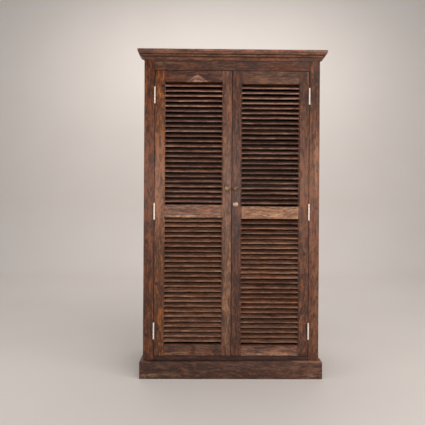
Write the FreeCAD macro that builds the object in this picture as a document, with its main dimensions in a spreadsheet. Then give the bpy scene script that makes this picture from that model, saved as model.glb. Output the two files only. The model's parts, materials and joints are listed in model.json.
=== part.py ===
"""Louvred door cabinet: a frame-and-panel cupboard with two fixed-louvre doors, in millimetres.

+Z is up and the doors face -Y. The origin is the middle of the footprint, on the floor.
SIZES holds the driving dimensions, which go into the spreadsheet. PLACES names what follows from
them. Every object below is bound to the two through its expressions.
"""
import FreeCAD, Part
import math
import os
import re
import Sketcher

SIZES = {
    # carcass
    "overall_height": 2000, "carcass_width": 1076, "carcass_depth": 550,
    "post_width": 63, "front_post_depth": 45, "rear_post_size": 45,
    "top_board_thickness": 18, "side_frame_thickness": 24, "front_rail_thickness": 36,
    "side_mid_rail_width": 70, "side_panel_thickness": 12, "panel_groove_depth": 9,
    "panel_clearance": 1, "tenon_thickness": 11, "frame_tenon_length": 32, "side_tenon_length": 18,
    "opening_bottom": 133, "frieze_height": 98, "bottom_rail_height": 75,
    "shelf_thickness": 18, "shelf_setback": 16, "cleat_size": 20,
    "back_board_thickness": 12, "back_rail_thickness": 20, "back_rail_height": 90,
    "back_board_count": 9, "tongue_length": 6, "tongue_thickness": 4, "tongue_clearance": 0.5,
    "stop_thickness": 16, "stop_overlap": 14, "stop_hold": 26,
    # crown and plinth
    "crown_height": 55, "crown_projection": 37, "crown_fillet": 15, "crown_quirk": 2.5,
    "crown_bead": 13, "crown_bead_radius": 9, "crown_foot": 5, "crown_foot_step": 4,
    "plinth_height": 108, "plinth_thickness": 19, "plinth_bevel": 4,
    # doors
    "door_thickness": 35, "hinge_gap": 2.5, "meeting_gap": 2.5, "door_end_gap": 2.5,
    "hinge_stile_width": 62, "meeting_stile_width": 60, "door_tenon_length": 38,
    "tenon_shoulder": 12,
    "left_top_rail": 68.5, "left_mid_rail": 78.5, "left_bottom_rail": 69, "left_mid_height": 982,
    "right_top_rail": 78, "right_mid_rail": 76, "right_bottom_rail": 64, "right_mid_height": 976,
    # louvres
    "slat_width": 33, "slat_thickness": 8, "slat_tilt": 38, "slat_nose": 2.2, "slat_recess": 3,
    "slat_pitch": 30.7, "housing_depth": 9, "stile_chamfer": 7, "bank_foot": 13.3,
    "left_upper_head": 28.5, "left_lower_head": 27.5, "right_upper_head": 30.5,
    "right_lower_head": 34,
    # hinges
    "hinge_length": 101.6, "hinge_end_distance": 152.8, "middle_hinge_rise": 10,
    "leaf_thickness": 2, "leaf_width": 30, "knuckle_radius": 4.75, "pin_radius": 2.4,
    "pin_clearance": 0.05, "knuckle_gap": 0.4, "hinge_reach": 5.4, "hinge_inset": 0.6,
    # knobs and lock
    "knob_height": 1162, "left_knob_inset": 28, "right_knob_inset": 22, "knob_radius": 16.5,
    "knob_head_depth": 13, "knob_projection": 32, "knob_neck_radius": 6.5, "knob_rim": 3.5,
    "knob_dish": 1.5,
    "lock_drop": 97, "lock_inset": 23, "lock_radius": 9.5, "lock_face_radius": 16,
    "lock_face_thickness": 4, "plug_radius": 6.5, "keyway_width": 2,
    "keyway_height": 8, "keyway_depth": 12, "lock_tail": 9, "nut_thickness": 5, "nut_radius": 14,
    "cam_length": 46, "cam_radius": 7.5, "cam_thickness": 2.5,
    "strike_width": 22, "strike_height": 44, "fit_clearance": 0.1, "cam_clearance": 1,
    # slide bolts
    "bolt_inset": 34, "bolt_width": 12, "bolt_thickness": 6, "bolt_throw": 17,
    "bolt_plate_length": 110, "bolt_plate_width": 30, "bolt_plate_thickness": 2,
    "bolt_staple_length": 14, "bolt_staple_wall": 2.5, "bolt_end_gap": 3, "bolt_play": 0.2,
    "bolt_grip": 8, "bolt_grip_length": 12, "keeper_thickness": 1.5, "keeper_length": 40,
}

PLACES = {
    # depths: front is the face of the face frame, back the rear of the carcass
    "front": "(crown_projection - carcass_depth) / 2",
    "back": "front + carcass_depth",
    "half_width": "carcass_width / 2",
    "half_opening": "half_width - post_width",
    "rear_half_gap": "half_width - rear_post_size",
    "frame_back": "front + front_rail_thickness",
    "rear_post_front": "back - rear_post_size",
    "side_inside": "half_width - side_frame_thickness",
    "boards_back": "back - back_rail_thickness",
    "boards_front": "boards_back - back_board_thickness",
    # heights
    "post_top": "overall_height - top_board_thickness",
    "opening_top": "post_top - frieze_height",
    "opening_height": "opening_top - opening_bottom",
    "low_rail_bottom": "opening_bottom - bottom_rail_height",
    "side_mid_bottom": "(opening_bottom + opening_top - side_mid_rail_width) / 2",
    # doors
    "door_bottom": "opening_bottom + door_end_gap",
    "door_height": "opening_height - 2 * door_end_gap",
    "door_top": "door_bottom + door_height",
    "door_edge": "half_opening - hinge_gap",
    "meeting_edge": "meeting_gap / 2",
    "slats_outer": "door_edge - hinge_stile_width",
    "slats_inner": "meeting_edge + meeting_stile_width",
    "door_back": "front + door_thickness",
    "door_tenon_front": "front + (door_thickness - tenon_thickness) / 2",
    # one slat's section, from the lower front arris of its nose
    "slat_front": "front + slat_recess + slat_thickness * sin(slat_tilt)",
    # hinges
    "axis_y": "front - hinge_reach",
    "axis_x": "door_edge + hinge_inset",
    "top_hinge": "door_top - hinge_end_distance",
    "low_hinge": "door_bottom + hinge_end_distance",
    "middle_hinge": "(top_hinge + low_hinge) / 2 + middle_hinge_rise",
    "knuckle_pitch": "hinge_length / 5",
    # lock and bolts
    "lock_height": "knob_height - lock_drop",
    "cam_front": "door_back + lock_tail + cam_clearance",
    "bolt_x": "-meeting_edge - bolt_inset",
    "bolt_front": "door_back + bolt_plate_thickness + bolt_play",
    "shelf_front": "front + front_post_depth + shelf_setback",
}

HINGES = ("top_hinge", "middle_hinge", "low_hinge")
SHELVES = 4
BARREL_SIDES = 10
SIDES = {"left": -1, "right": 1}

doc = FreeCAD.newDocument("louvred_door_cabinet")
sheet = doc.addObject("Spreadsheet::Sheet", "Sizes")
for row, (alias, value) in enumerate(SIZES.items(), start=1):
    sheet.set(f"A{row}", alias.replace("_", " "))
    sheet.set(f"B{row}", str(value))
    sheet.setAlias(f"B{row}", alias)
doc.recompute()

WORD = re.compile(r"[a-z_]{3,}\b(?!\()")
parts = []


# ---- expressions and small helpers ----

def full(expression):
    """An expression with places spelled out and sizes read from the sheet."""
    def spell(match):
        word = match.group(0)
        if word in PLACES:
            return f"({full(PLACES[word])})"
        return f"Sizes.{word}" if word in SIZES else word
    return WORD.sub(spell, str(expression))


def value(expression):
    """The number an expression gives now."""
    return float(sheet.evalExpression(full(expression)))


def bind(thing, **bound):
    """Binds properties to expressions; place=(x, y, z) binds the position."""
    for axis, expression in zip("xyz", bound.pop("place", ())):
        thing.setExpression(f"Placement.Base.{axis}", full(expression))
    for name, expression in bound.items():
        thing.setExpression(name, full(expression))
    return thing


def primitive(kind, place, turn=None, **sizes):
    """A Part primitive at a place, with turn = (axis vector, degrees)."""
    made = doc.addObject(f"Part::{kind}", kind)
    if turn:
        made.Placement.Rotation = FreeCAD.Rotation(FreeCAD.Vector(*turn[0]), turn[1])
    return bind(made, place=place, **sizes)


def box(x, y, z, length, width, height):
    return primitive("Box", (x, y, z), Length=length, Width=width, Height=height)


def between(side, low, high, y, z, width, height):
    """A box from low to high out from the middle, on the left (side -1) or the right (1)."""
    x = low if side > 0 else f"-({high})"
    return box(x, y, z, f"{high} - ({low})", width, height)


TO_BACK = ((1, 0, 0), -90)  # turns a primitive's +Z axis to +Y, so that it runs into the cabinet


def rod(x, y, z, radius, length, along_y=True):
    """A cylinder from a point, running back (+Y) or up (+Z)."""
    turn = TO_BACK if along_y else None
    return primitive("Cylinder", (x, y, z), turn, Radius=radius, Height=length)


def barrel(x, y, z, radius, length):
    """An upright many-sided rod; the small turned parts of the hinges are made of these."""
    made = primitive("Prism", (x, y, z), Circumradius=radius, Height=length)
    made.Polygon = BARREL_SIDES
    return made


def fuse(pieces):
    if len(pieces) == 1:
        return pieces[0]
    made = doc.addObject("Part::MultiFuse", "Fusion")
    made.Shapes = pieces
    made.Refine = True
    return made


def cut(base, tools):
    made = doc.addObject("Part::Cut", "Cut")
    made.Base = base
    made.Tool = fuse(tools)
    made.Refine = True
    return made


def group(pieces):
    """Separate solids that share one node."""
    made = doc.addObject("Part::Compound", "Group")
    made.Links = pieces
    return made


def part(label, made):
    """Registers a finished sub-part under the name of its file."""
    made.Label = label
    parts.append(made)
    return made


# ---- PartDesign helpers ----

def datum(body, role):
    return next(f for f in body.Origin.OriginFeatures if f.Role == role)


def new_body(name):
    return doc.addObject("PartDesign::Body", name)


def edge_between(here, there, radius, turn):
    """A line, or the shorter arc that turns left (1) or right (-1), and its start and end vertices."""
    if not turn:
        return Part.LineSegment(here, there), (1, 2)
    chord = there - here
    inward = FreeCAD.Vector(-chord.y, chord.x, 0).normalize() * turn
    centre = here + chord / 2 + inward * math.sqrt(radius**2 - (chord.Length / 2) ** 2)
    ends = (here, there) if turn > 0 else (there, here)
    angles = [math.atan2(*reversed((end - centre)[:2])) for end in ends]
    circle = Part.Circle(centre, FreeCAD.Vector(0, 0, 1), radius)
    return Part.ArcOfCircle(circle, *angles), (1, 2) if turn > 0 else (2, 1)


def outline(body, plane, corners, offset="0", lift="0"):
    """A closed outline on one of the body's planes.

    Each corner is (x, y) in expressions, or (x, y, radius, turn) where an arc leads to it.
    """
    sketch = body.newObject("Sketcher::SketchObject", "Outline")
    sketch.AttachmentSupport = [(datum(body, plane), "")]
    sketch.MapMode = "FlatFace"
    bind(sketch, **{"AttachmentOffset.Base.z": offset, "AttachmentOffset.Base.y": lift})
    points = [FreeCAD.Vector(value(corner[0]), value(corner[1]), 0) for corner in corners]
    vertices = []
    for at, corner in enumerate(corners):
        radius, turn = corner[2:] or ("0", 0)
        edge, ends = edge_between(points[at - 1], points[at], value(radius), turn)
        sketch.addGeometry(edge, False)
        vertices.append(ends)
    for at, corner in enumerate(corners):
        start, end = vertices[at]
        following = (at + 1) % len(corners)
        sketch.addConstraint(
            Sketcher.Constraint("Coincident", at, end, following, vertices[following][0]))
        for kind, expression in zip(("DistanceX", "DistanceY"), corner):
            index = sketch.addConstraint(
                Sketcher.Constraint(kind, -1, 1, at, end, value(expression)))
            sketch.setExpression(f"Constraints[{index}]", full(expression))
        if len(corner) > 2:
            index = sketch.addConstraint(Sketcher.Constraint("Radius", at, value(corner[2])))
            sketch.setExpression(f"Constraints[{index}]", full(corner[2]))
    return sketch


def pad(body, sketch, length, midplane=True):
    made = body.newObject("PartDesign::Pad", "Pad")
    made.Profile = sketch
    made.SideType = "Symmetric" if midplane else "One side"
    bind(made, Length=length)
    body.Tip = made
    return made


def revolve(body, sketch):
    """Turns a sketch about its own horizontal axis."""
    made = body.newObject("PartDesign::Revolution", "Revolution")
    made.Profile = sketch
    made.ReferenceAxis = (sketch, ["H_Axis"])
    made.Angle = 360
    body.Tip = made
    return made


def pocket(body, sketch, length):
    """A pocket reaching half its length to both sides of its sketch, which must remove material."""
    doc.recompute()
    before = body.Shape.Volume
    made = body.newObject("PartDesign::Pocket", "Pocket")
    made.Profile = sketch
    made.SideType = "Symmetric"
    bind(made, Length=length)
    body.Tip = made
    doc.recompute()
    if not body.Shape.Volume < before:
        raise ValueError(f"{body.Label}: a pocket cut nothing")
    return made


def repeat(body, feature, axis, extent, count):
    """Copies of a feature along one of the body's axes, evenly spaced over the extent."""
    made = body.newObject("PartDesign::LinearPattern", "Pattern")
    made.Originals = [feature]
    made.Direction = (datum(body, axis), [""])
    bind(made, Length=extent, Occurrences=count)
    body.Tip = made
    return made


# ---- carcass ----

def front_post(name, side):
    """Runs from the floor to the top board; mortised for the front rails, grooved for the panels."""
    blank = between(side, "half_opening", "half_width", "front", "0", "front_post_depth", "post_top")
    tools = [
        between(side, "half_opening", "half_opening + frame_tenon_length",
                "front + (front_rail_thickness - tenon_thickness) / 2", f"{low} + tenon_shoulder",
                "tenon_thickness", f"{high} - 2 * tenon_shoulder")
        for low, high in (("low_rail_bottom", "bottom_rail_height"), ("opening_top", "frieze_height"))
    ]
    tools += side_joinery(side, "front + front_post_depth - side_tenon_length",
                          "front + front_post_depth - panel_groove_depth")
    tools += [leaf_plate(side, height, frame=True) for height in HINGES]
    part(f"{name}_front_post", cut(blank, tools))


def rear_post(name, side):
    blank = between(side, "rear_half_gap", "half_width", "rear_post_front", "0", "rear_post_size",
                    "post_top")
    tools = side_joinery(side, "rear_post_front", "rear_post_front")
    tools += [
        between(side, "rear_half_gap", "rear_half_gap + side_tenon_length",
                "boards_back + (back_rail_thickness - tenon_thickness) / 2", f"{low} + tenon_shoulder",
                "tenon_thickness", "back_rail_height - 2 * tenon_shoulder")
        for low in ("low_rail_bottom", "post_top - back_rail_height")
    ]
    part(f"{name}_rear_post", cut(blank, tools))


SIDE_RAILS = (
    ("low_rail_bottom", "bottom_rail_height"),
    ("side_mid_bottom", "side_mid_rail_width"),
    ("opening_top", "frieze_height"),
)


def side_joinery(side, tenon_start, groove_start):
    """What a post loses to its side: three mortises and the panel groove between the rails."""
    middle = "half_width - (side_frame_thickness + tenon_thickness) / 2"
    mortises = [
        between(side, middle, f"{middle} + tenon_thickness", tenon_start, f"{low} + tenon_shoulder",
                "side_tenon_length", f"{height} - 2 * tenon_shoulder")
        for low, height in SIDE_RAILS
    ]
    groove = between(side, "half_width - (side_frame_thickness + side_panel_thickness) / 2",
                     "half_width - (side_frame_thickness - side_panel_thickness) / 2",
                     groove_start, "opening_bottom - panel_groove_depth", "panel_groove_depth",
                     "opening_height + 2 * panel_groove_depth")
    return mortises + [groove]


def side_rails(name, side):
    """Top, middle and bottom rails of a side, with a tenon at both ends and panel grooves."""
    inner = "side_inside"
    start = "front + front_post_depth"
    run = f"rear_post_front - ({start})"
    middle = "half_width - (side_frame_thickness + tenon_thickness) / 2"
    rails = []
    for low, height in SIDE_RAILS:
        blank = between(side, inner, "half_width", start, low, run, height)
        tenon = between(side, middle, f"{middle} + tenon_thickness", f"{start} - side_tenon_length",
                        f"{low} + tenon_shoulder", f"{run} + 2 * side_tenon_length",
                        f"{height} - 2 * tenon_shoulder")
        grooves = []
        if low != "opening_top":
            grooves.append(f"{low} + {height} - panel_groove_depth")
        if low != "low_rail_bottom":
            grooves.append(low)
        tools = [
            between(side, "half_width - (side_frame_thickness + side_panel_thickness) / 2",
                    "half_width - (side_frame_thickness - side_panel_thickness) / 2",
                    f"{start} - side_tenon_length", groove, f"{run} + 2 * side_tenon_length",
                    "panel_groove_depth")
            for groove in grooves
        ]
        rails.append(cut(fuse([blank, tenon]), tools))
    part(f"{name}_side_rails", group(rails))


def side_panels(name, side):
    """Two flat panels held in the grooves with room to move."""
    edge = "(panel_groove_depth - panel_clearance)"
    panels = []
    for low, high in (("opening_bottom", "side_mid_bottom"),
                      ("side_mid_bottom + side_mid_rail_width", "opening_top")):
        panels.append(between(
            side, "half_width - (side_frame_thickness + side_panel_thickness) / 2",
            "half_width - (side_frame_thickness - side_panel_thickness) / 2",
            f"front + front_post_depth - {edge}", f"{low} - {edge}",
            f"rear_post_front - front - front_post_depth + 2 * {edge}",
            f"{high} - ({low}) + 2 * {edge}"))
    part(f"{name}_side_panels", group(panels))


def front_rail(label, low, height):
    """A rail of the face frame, tenoned into both posts."""
    blank = box("-half_opening", "front", low, "2 * half_opening", "front_rail_thickness", height)
    tenon = box("-half_opening - frame_tenon_length",
                "front + (front_rail_thickness - tenon_thickness) / 2", f"{low} + tenon_shoulder",
                "2 * (half_opening + frame_tenon_length)", "tenon_thickness",
                f"{height} - 2 * tenon_shoulder")
    part(label, fuse([blank, tenon]))


def back_rails():
    rails = []
    for low in ("low_rail_bottom", "post_top - back_rail_height"):
        blank = box("-rear_half_gap", "boards_back", low, "2 * rear_half_gap", "back_rail_thickness",
                    "back_rail_height")
        tenon = box("-rear_half_gap - side_tenon_length",
                    "boards_back + (back_rail_thickness - tenon_thickness) / 2",
                    f"{low} + tenon_shoulder", "2 * (rear_half_gap + side_tenon_length)",
                    "tenon_thickness", "back_rail_height - 2 * tenon_shoulder")
        rails.append(fuse([blank, tenon]))
    part("back_rails", group(rails))


def back_boards():
    """Upright boards, tongued on one edge and grooved on the other, nailed to the back rails."""
    count = SIZES["back_board_count"]
    pitch = "(2 * rear_half_gap / back_board_count)"
    tongue_y = "boards_front + (back_board_thickness - tongue_thickness) / 2"
    boards = []
    for number in range(count):
        low = f"(-rear_half_gap + {number} * {pitch})"
        board = box(low, "boards_front", "low_rail_bottom", pitch, "back_board_thickness",
                    "post_top - low_rail_bottom")
        if number:
            board = cut(board, [box(low, tongue_y, "low_rail_bottom",
                                    "tongue_length + tongue_clearance", "tongue_thickness",
                                    "post_top - low_rail_bottom")])
        if number < count - 1:
            tongue = box(f"{low} + {pitch}", tongue_y, "low_rail_bottom", "tongue_length",
                         "tongue_thickness", "post_top - low_rail_bottom")
            board = fuse([board, tongue])
        boards.append(board)
    part("back_boards", group(boards))


def level_board(label, low, start):
    """A shelf or the bottom: between the side frames, notched round the rear posts."""
    board = box("-side_inside", start, low, "2 * side_inside", f"boards_front - ({start})",
                "shelf_thickness")
    notches = [
        between(side, "rear_half_gap", "half_width", "rear_post_front", low, "rear_post_size",
                "shelf_thickness")
        for side in SIDES.values()
    ]
    if start == "frame_back":
        notches += [
            between(side, "half_opening", "half_width", "front", low, "front_post_depth",
                    "shelf_thickness")
            for side in SIDES.values()
        ]
    part(label, cut(board, notches))


def shelf_height(number):
    """The underside of a shelf, the shelves sharing the opening evenly."""
    return f"(opening_bottom + {number} * opening_height / {SHELVES + 1} - shelf_thickness / 2)"


def shelf_cleats(name, side):
    """Battens under the shelves, from post to post against the side rails' plane."""
    start = "front + front_post_depth"
    cleats = [
        between(side, "side_inside - cleat_size", "side_inside", start,
                f"{shelf_height(number)} - cleat_size", f"rear_post_front - ({start})", "cleat_size")
        for number in range(1, SHELVES + 1)
    ]
    part(f"{name}_shelf_cleats", group(cleats))


def door_stops():
    """Strips behind the frame's rails, each in two lengths with a gap where a bolt shoots.

    A keeper plate spans each gap and carries the bolt's end.
    """
    gap_left = "bolt_x - bolt_width / 2 - bolt_play"
    gap_right = "bolt_x + bolt_width / 2 + bolt_play"
    keepers = []
    for label, low, height, keeper_low in (
            ("top_door_stop", "opening_top - stop_overlap", "stop_overlap + stop_hold",
             "opening_top - stop_overlap - keeper_thickness"),
            ("bottom_door_stop", "opening_bottom", "stop_overlap", "opening_bottom + stop_overlap")):
        part(label, group([
            box(start, "frame_back", low, f"{end} - ({start})", "stop_thickness", height)
            for start, end in (("-half_opening", gap_left), (gap_right, "half_opening"))
        ]))
        plate = box("bolt_x - keeper_length / 2", "frame_back", keeper_low, "keeper_length",
                    "stop_thickness", "keeper_thickness")
        slot = box(gap_left, "bolt_front - bolt_play", keeper_low, "bolt_width + 2 * bolt_play",
                   "bolt_thickness + 2 * bolt_play", "keeper_thickness")
        keepers.append(cut(plate, [slot]))
    part("bolt_keepers", group(keepers))


def moulding(label, profile, along, mitres):
    """A straight moulding: a profile drawn across its run, with both or one end mitred."""
    plane, length, start = along
    body = new_body(label)
    pad(body, outline(body, plane, profile, start), length)
    pocket(body, outline(body, "XY_Plane", mitres[0]), "4 * overall_height")
    for mitre in mitres[1:]:
        pocket(body, outline(body, "XY_Plane", mitre), "4 * overall_height")
    part(label, body)


def crown_profile(face, out):
    """Fillet, quirk, bead and splay down to a small foot, from the face outwards."""
    low = "overall_height - crown_height"
    bead_top = "overall_height - crown_fillet"
    bead_out = "crown_projection - crown_quirk"
    turn = 1 if out == "+" else -1
    steps = (
        ("0", low),
        ("crown_foot_step", low),
        ("crown_foot_step", f"{low} + crown_foot"),
        (f"{bead_out} - crown_bead * 0.6", f"{bead_top} - crown_bead"),
        (bead_out, bead_top, "crown_bead_radius", turn),
        ("crown_projection", bead_top),
        ("crown_projection", "overall_height"),
        ("0", "overall_height"),
    )
    return [(f"{face} {out} ({step})", *rest) for step, *rest in steps]


def plinth_profile(face, out):
    steps = (
        ("0", "0"),
        ("plinth_thickness", "0"),
        ("plinth_thickness", "plinth_height - plinth_bevel"),
        ("plinth_thickness - plinth_bevel", "plinth_height"),
        ("0", "plinth_height"),
    )
    return [(f"{face} {out} ({step})", *rest) for step, *rest in steps]


def mitre_corners(side, depth, keep_front):
    """A triangle at a front corner of the carcass: what the front piece or the side piece loses."""
    sign = "" if side > 0 else "-"
    corner = (f"{sign}(half_width)", "front")
    tip = (f"{sign}(half_width + 2 * {depth})", f"front - 2 * {depth}")
    third = (f"{sign}(half_width + 2 * {depth})", "front") if keep_front else (
        f"{sign}(half_width)", f"front - 2 * {depth}")
    return [corner, tip, third]


def trims():
    """Crown and plinth: a front piece mitred to two side pieces.

    The crown returns only over the front posts' sides; the plinth runs back to the rear.
    """
    for kind, profile, depth, run in (
            ("crown", crown_profile, "crown_projection", "front_post_depth"),
            ("plinth", plinth_profile, "plinth_thickness", "carcass_depth")):
        moulding(f"{kind}_front", profile("front", "-"),
                 ("YZ_Plane", f"2 * (half_width + {depth})", "0"),
                 [mitre_corners(side, depth, True) for side in SIDES.values()])
        for name, side in SIDES.items():
            sign = "+" if side > 0 else "-"
            # the XZ plane's normal is -Y, so its offset is counted forwards
            moulding(f"{kind}_{name}", profile(f"{sign}half_width", sign),
                     ("XZ_Plane", f"{run} + {depth}", f"-(2 * front + {run} - {depth}) / 2"),
                     [mitre_corners(side, depth, False)])


def carcass():
    for name, side in SIDES.items():
        front_post(name, side)
        rear_post(name, side)
        side_rails(name, side)
        side_panels(name, side)
        shelf_cleats(name, side)
    front_rail("frieze_rail", "opening_top", "frieze_height")
    front_rail("bottom_rail", "low_rail_bottom", "bottom_rail_height")
    back_rails()
    back_boards()
    level_board("bottom_board", "opening_bottom - shelf_thickness", "frame_back")
    for number in range(1, SHELVES + 1):
        level_board(f"shelf_{number}", shelf_height(number), "shelf_front")
    door_stops()
    part("top_board", box("-half_width", "front", "post_top", "carcass_width", "carcass_depth",
                          "top_board_thickness"))
    trims()


# ---- hinges ----

def knuckles(side, height, numbers):
    """The barrels of one leaf, counted from the bottom of the hinge."""
    return [
        barrel(f"{side} * axis_x", "axis_y",
               f"{height} - hinge_length / 2 + {number} * knuckle_pitch + knuckle_gap / 2",
               "knuckle_radius", "knuckle_pitch - knuckle_gap")
        for number in numbers
    ]


def leaf_plate(side, height, frame):
    """The flat of a leaf, flush in the post or in the door's edge."""
    low, high = ("half_opening", "half_opening + leaf_thickness") if frame else (
        "door_edge - leaf_thickness", "door_edge")
    return between(side, low, high, "front", f"{height} - hinge_length / 2", "leaf_width",
                   "hinge_length")


def leaf_tabs(side, height, numbers, frame):
    """Where the leaf leaves its bed to join its barrels."""
    low, high = ("axis_x", "half_opening + leaf_thickness") if frame else (
        "door_edge - leaf_thickness", "door_edge")
    return [
        between(side, low, high, "axis_y",
                f"{height} - hinge_length / 2 + {number} * knuckle_pitch + knuckle_gap / 2",
                "hinge_reach", "knuckle_pitch - knuckle_gap")
        for number in numbers
    ]


def hinge_leaves(name, side, frame):
    """Three leaves of one side; the frame's carry the pins, riveted in, and turn in the door's."""
    leaves = []
    for height in HINGES:
        numbers = (0, 2, 4) if frame else (1, 3)
        leaf = fuse([leaf_plate(side, height, frame)] + leaf_tabs(side, height, numbers, frame)
                    + knuckles(side, height, numbers))
        at = (f"{side} * axis_x", "axis_y")
        if frame:
            pin = rod(*at, f"{height} - hinge_length / 2 + knuckle_pitch / 2", "pin_radius",
                      "hinge_length - knuckle_pitch", along_y=False)
            leaves.append(fuse([leaf, pin]))
        else:
            bore = barrel(*at, f"{height} - hinge_length / 2",
                          f"(pin_radius + pin_clearance) / cos(180 / {BARREL_SIDES})", "hinge_length")
            leaves.append(cut(leaf, [bore]))
    part(f"{name}_{'frame' if frame else 'door'}_hinge_leaves", group(leaves))


# ---- doors ----

def banks(name):
    """Both openings of a door for louvres: (label, low edge, height, head)."""
    return (
        ("upper", f"{name}_mid_height + {name}_mid_rail",
         f"door_top - {name}_top_rail - {name}_mid_height - {name}_mid_rail", f"{name}_upper_head"),
        ("lower", f"door_bottom + {name}_bottom_rail",
         f"{name}_mid_height - door_bottom - {name}_bottom_rail", f"{name}_lower_head"),
    )


def slat_run(height, head):
    """The distance from the lowest slat of a bank to the highest, and how many slats that makes."""
    run = f"({height} - {head} - bank_foot)"
    return run, f"round({run} / slat_pitch) + 1"


def slat_section(low):
    """A slat's section, sloping down to a nose with both arrises taken off."""
    nose, thick, wide = "slat_nose", "slat_thickness", "slat_width"
    along_and_up = (
        (nose, "0"), (wide, "0"), (wide, thick), (nose, thick),
        ("0", f"{thick} - {nose}"), ("0", nose),
    )
    return [
        (f"slat_front + ({along}) * cos(slat_tilt) - ({up}) * sin(slat_tilt)",
         f"{low} + ({along}) * sin(slat_tilt) + ({up}) * cos(slat_tilt)")
        for along, up in along_and_up
    ]


def housing_section(low):
    """The slot that a slat's end slides into: the slat's section with a square nose."""
    corners = (("0", "0"), ("slat_width", "0"), ("slat_width", "slat_thickness"),
               ("0", "slat_thickness"))
    return [
        (f"slat_front + {along} * cos(slat_tilt) - {up} * sin(slat_tilt)",
         f"{low} + {along} * sin(slat_tilt) + {up} * cos(slat_tilt)")
        for along, up in corners
    ]


def door_rails(name):
    return (
        ("top", f"door_top - {name}_top_rail", f"{name}_top_rail"),
        ("mid", f"{name}_mid_height", f"{name}_mid_rail"),
        ("bottom", "door_bottom", f"{name}_bottom_rail"),
    )


def stile(name, side, kind):
    """A door's upright: mortised for the rails and housed at a slant for every slat's end.

    The inner arris is chamfered along the louvres, so the slats' noses show over it.
    """
    outer, inner, inward = {
        "hinge": ("door_edge", "slats_outer", 1),
        "meeting": ("meeting_edge", "slats_inner", -1),
    }[kind]
    body = new_body("Stile")
    at_inner = f"{side} * ({inner})"
    corners = [(at_inner, "front"), (f"{side} * ({outer})", "front"),
               (f"{side} * ({outer})", "door_back"), (at_inner, "door_back")]
    pad(body, outline(body, "XY_Plane", corners, "door_bottom"), "door_height", midplane=False)
    for _, low, height in door_rails(name):
        mortise = [("door_tenon_front", f"{low} + tenon_shoulder"),
                   ("door_tenon_front + tenon_thickness", f"{low} + tenon_shoulder"),
                   ("door_tenon_front + tenon_thickness", f"{low} + {height} - tenon_shoulder"),
                   ("door_tenon_front", f"{low} + {height} - tenon_shoulder")]
        pocket(body, outline(body, "YZ_Plane", mortise, at_inner), "2 * door_tenon_length")
    for _, low, height, head in banks(name):
        arris = [(at_inner, "front"), (f"{at_inner} + {side * inward} * stile_chamfer", "front"),
                 (at_inner, "front + stile_chamfer")]
        pocket(body, outline(body, "XY_Plane", arris, f"{low} + ({height}) / 2"), height)
        first = outline(body, "YZ_Plane", housing_section(f"{low} + bank_foot"), at_inner)
        slot = pocket(body, first, "2 * housing_depth")
        repeat(body, slot, "Z_Axis", *slat_run(height, head))
    tools = []
    if kind == "hinge":
        tools += [leaf_plate(side, height, frame=False) for height in HINGES]
    elif name == "right":
        tools.append(rod("meeting_edge + lock_inset", "front", "lock_height",
                         "lock_radius + fit_clearance", "door_thickness"))
    part(f"{name}_{kind}_stile", cut(body, tools) if tools else body)


def door_rail(name, side, kind, low, height):
    """A rail between the stiles, with a blind tenon into each."""
    width = "slats_outer - slats_inner"
    left = "slats_inner" if side > 0 else "-slats_outer"
    blank = box(left, "front", low, width, "door_thickness", height)
    tenon = box(f"{left} - door_tenon_length", "door_tenon_front", f"{low} + tenon_shoulder",
                f"{width} + 2 * door_tenon_length", "tenon_thickness",
                f"{height} - 2 * tenon_shoulder")
    part(f"{name}_{kind}_rail", fuse([blank, tenon]))


def louvres(name, side, label, low, height, head):
    """One bank of fixed slats, each let into both stiles."""
    body = new_body(f"{name}_{label}_louvres")
    middle = f"{side} * (slats_outer + slats_inner) / 2"
    section = outline(body, "YZ_Plane", slat_section(f"{low} + bank_foot"), middle)
    slat = pad(body, section, "slats_outer - slats_inner + 2 * housing_depth")
    repeat(body, slat, "Z_Axis", *slat_run(height, head))
    part(f"{name}_{label}_louvres", body)


def knob(name, side):
    """A turned knob: a neck and a flat-backed head, its face sunk inside a rim."""
    body = new_body(f"{name}_knob")
    face = "front - knob_projection"
    corners = [
        ("front", "0"),
        ("front", "knob_neck_radius"),
        (f"{face} + knob_head_depth", "knob_neck_radius"),
        (f"{face} + knob_head_depth", "knob_radius"),
        (face, "knob_radius"),
        (face, "knob_radius - knob_rim"),
        (f"{face} + knob_dish", "knob_radius - knob_rim"),
        (f"{face} + knob_dish", "0"),
    ]
    x = f"{side} * (meeting_edge + {name}_knob_inset)"
    revolve(body, outline(body, "YZ_Plane", corners, x, "knob_height"))
    part(f"{name}_knob", body)


def door(name, side):
    for kind in ("hinge", "meeting"):
        stile(name, side, kind)
    for kind, low, height in door_rails(name):
        door_rail(name, side, kind, low, height)
    for label, low, height, head in banks(name):
        louvres(name, side, label, low, height, head)
    knob(name, side)
    for frame in (True, False):
        hinge_leaves(name, side, frame)


# ---- lock and bolts ----

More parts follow.
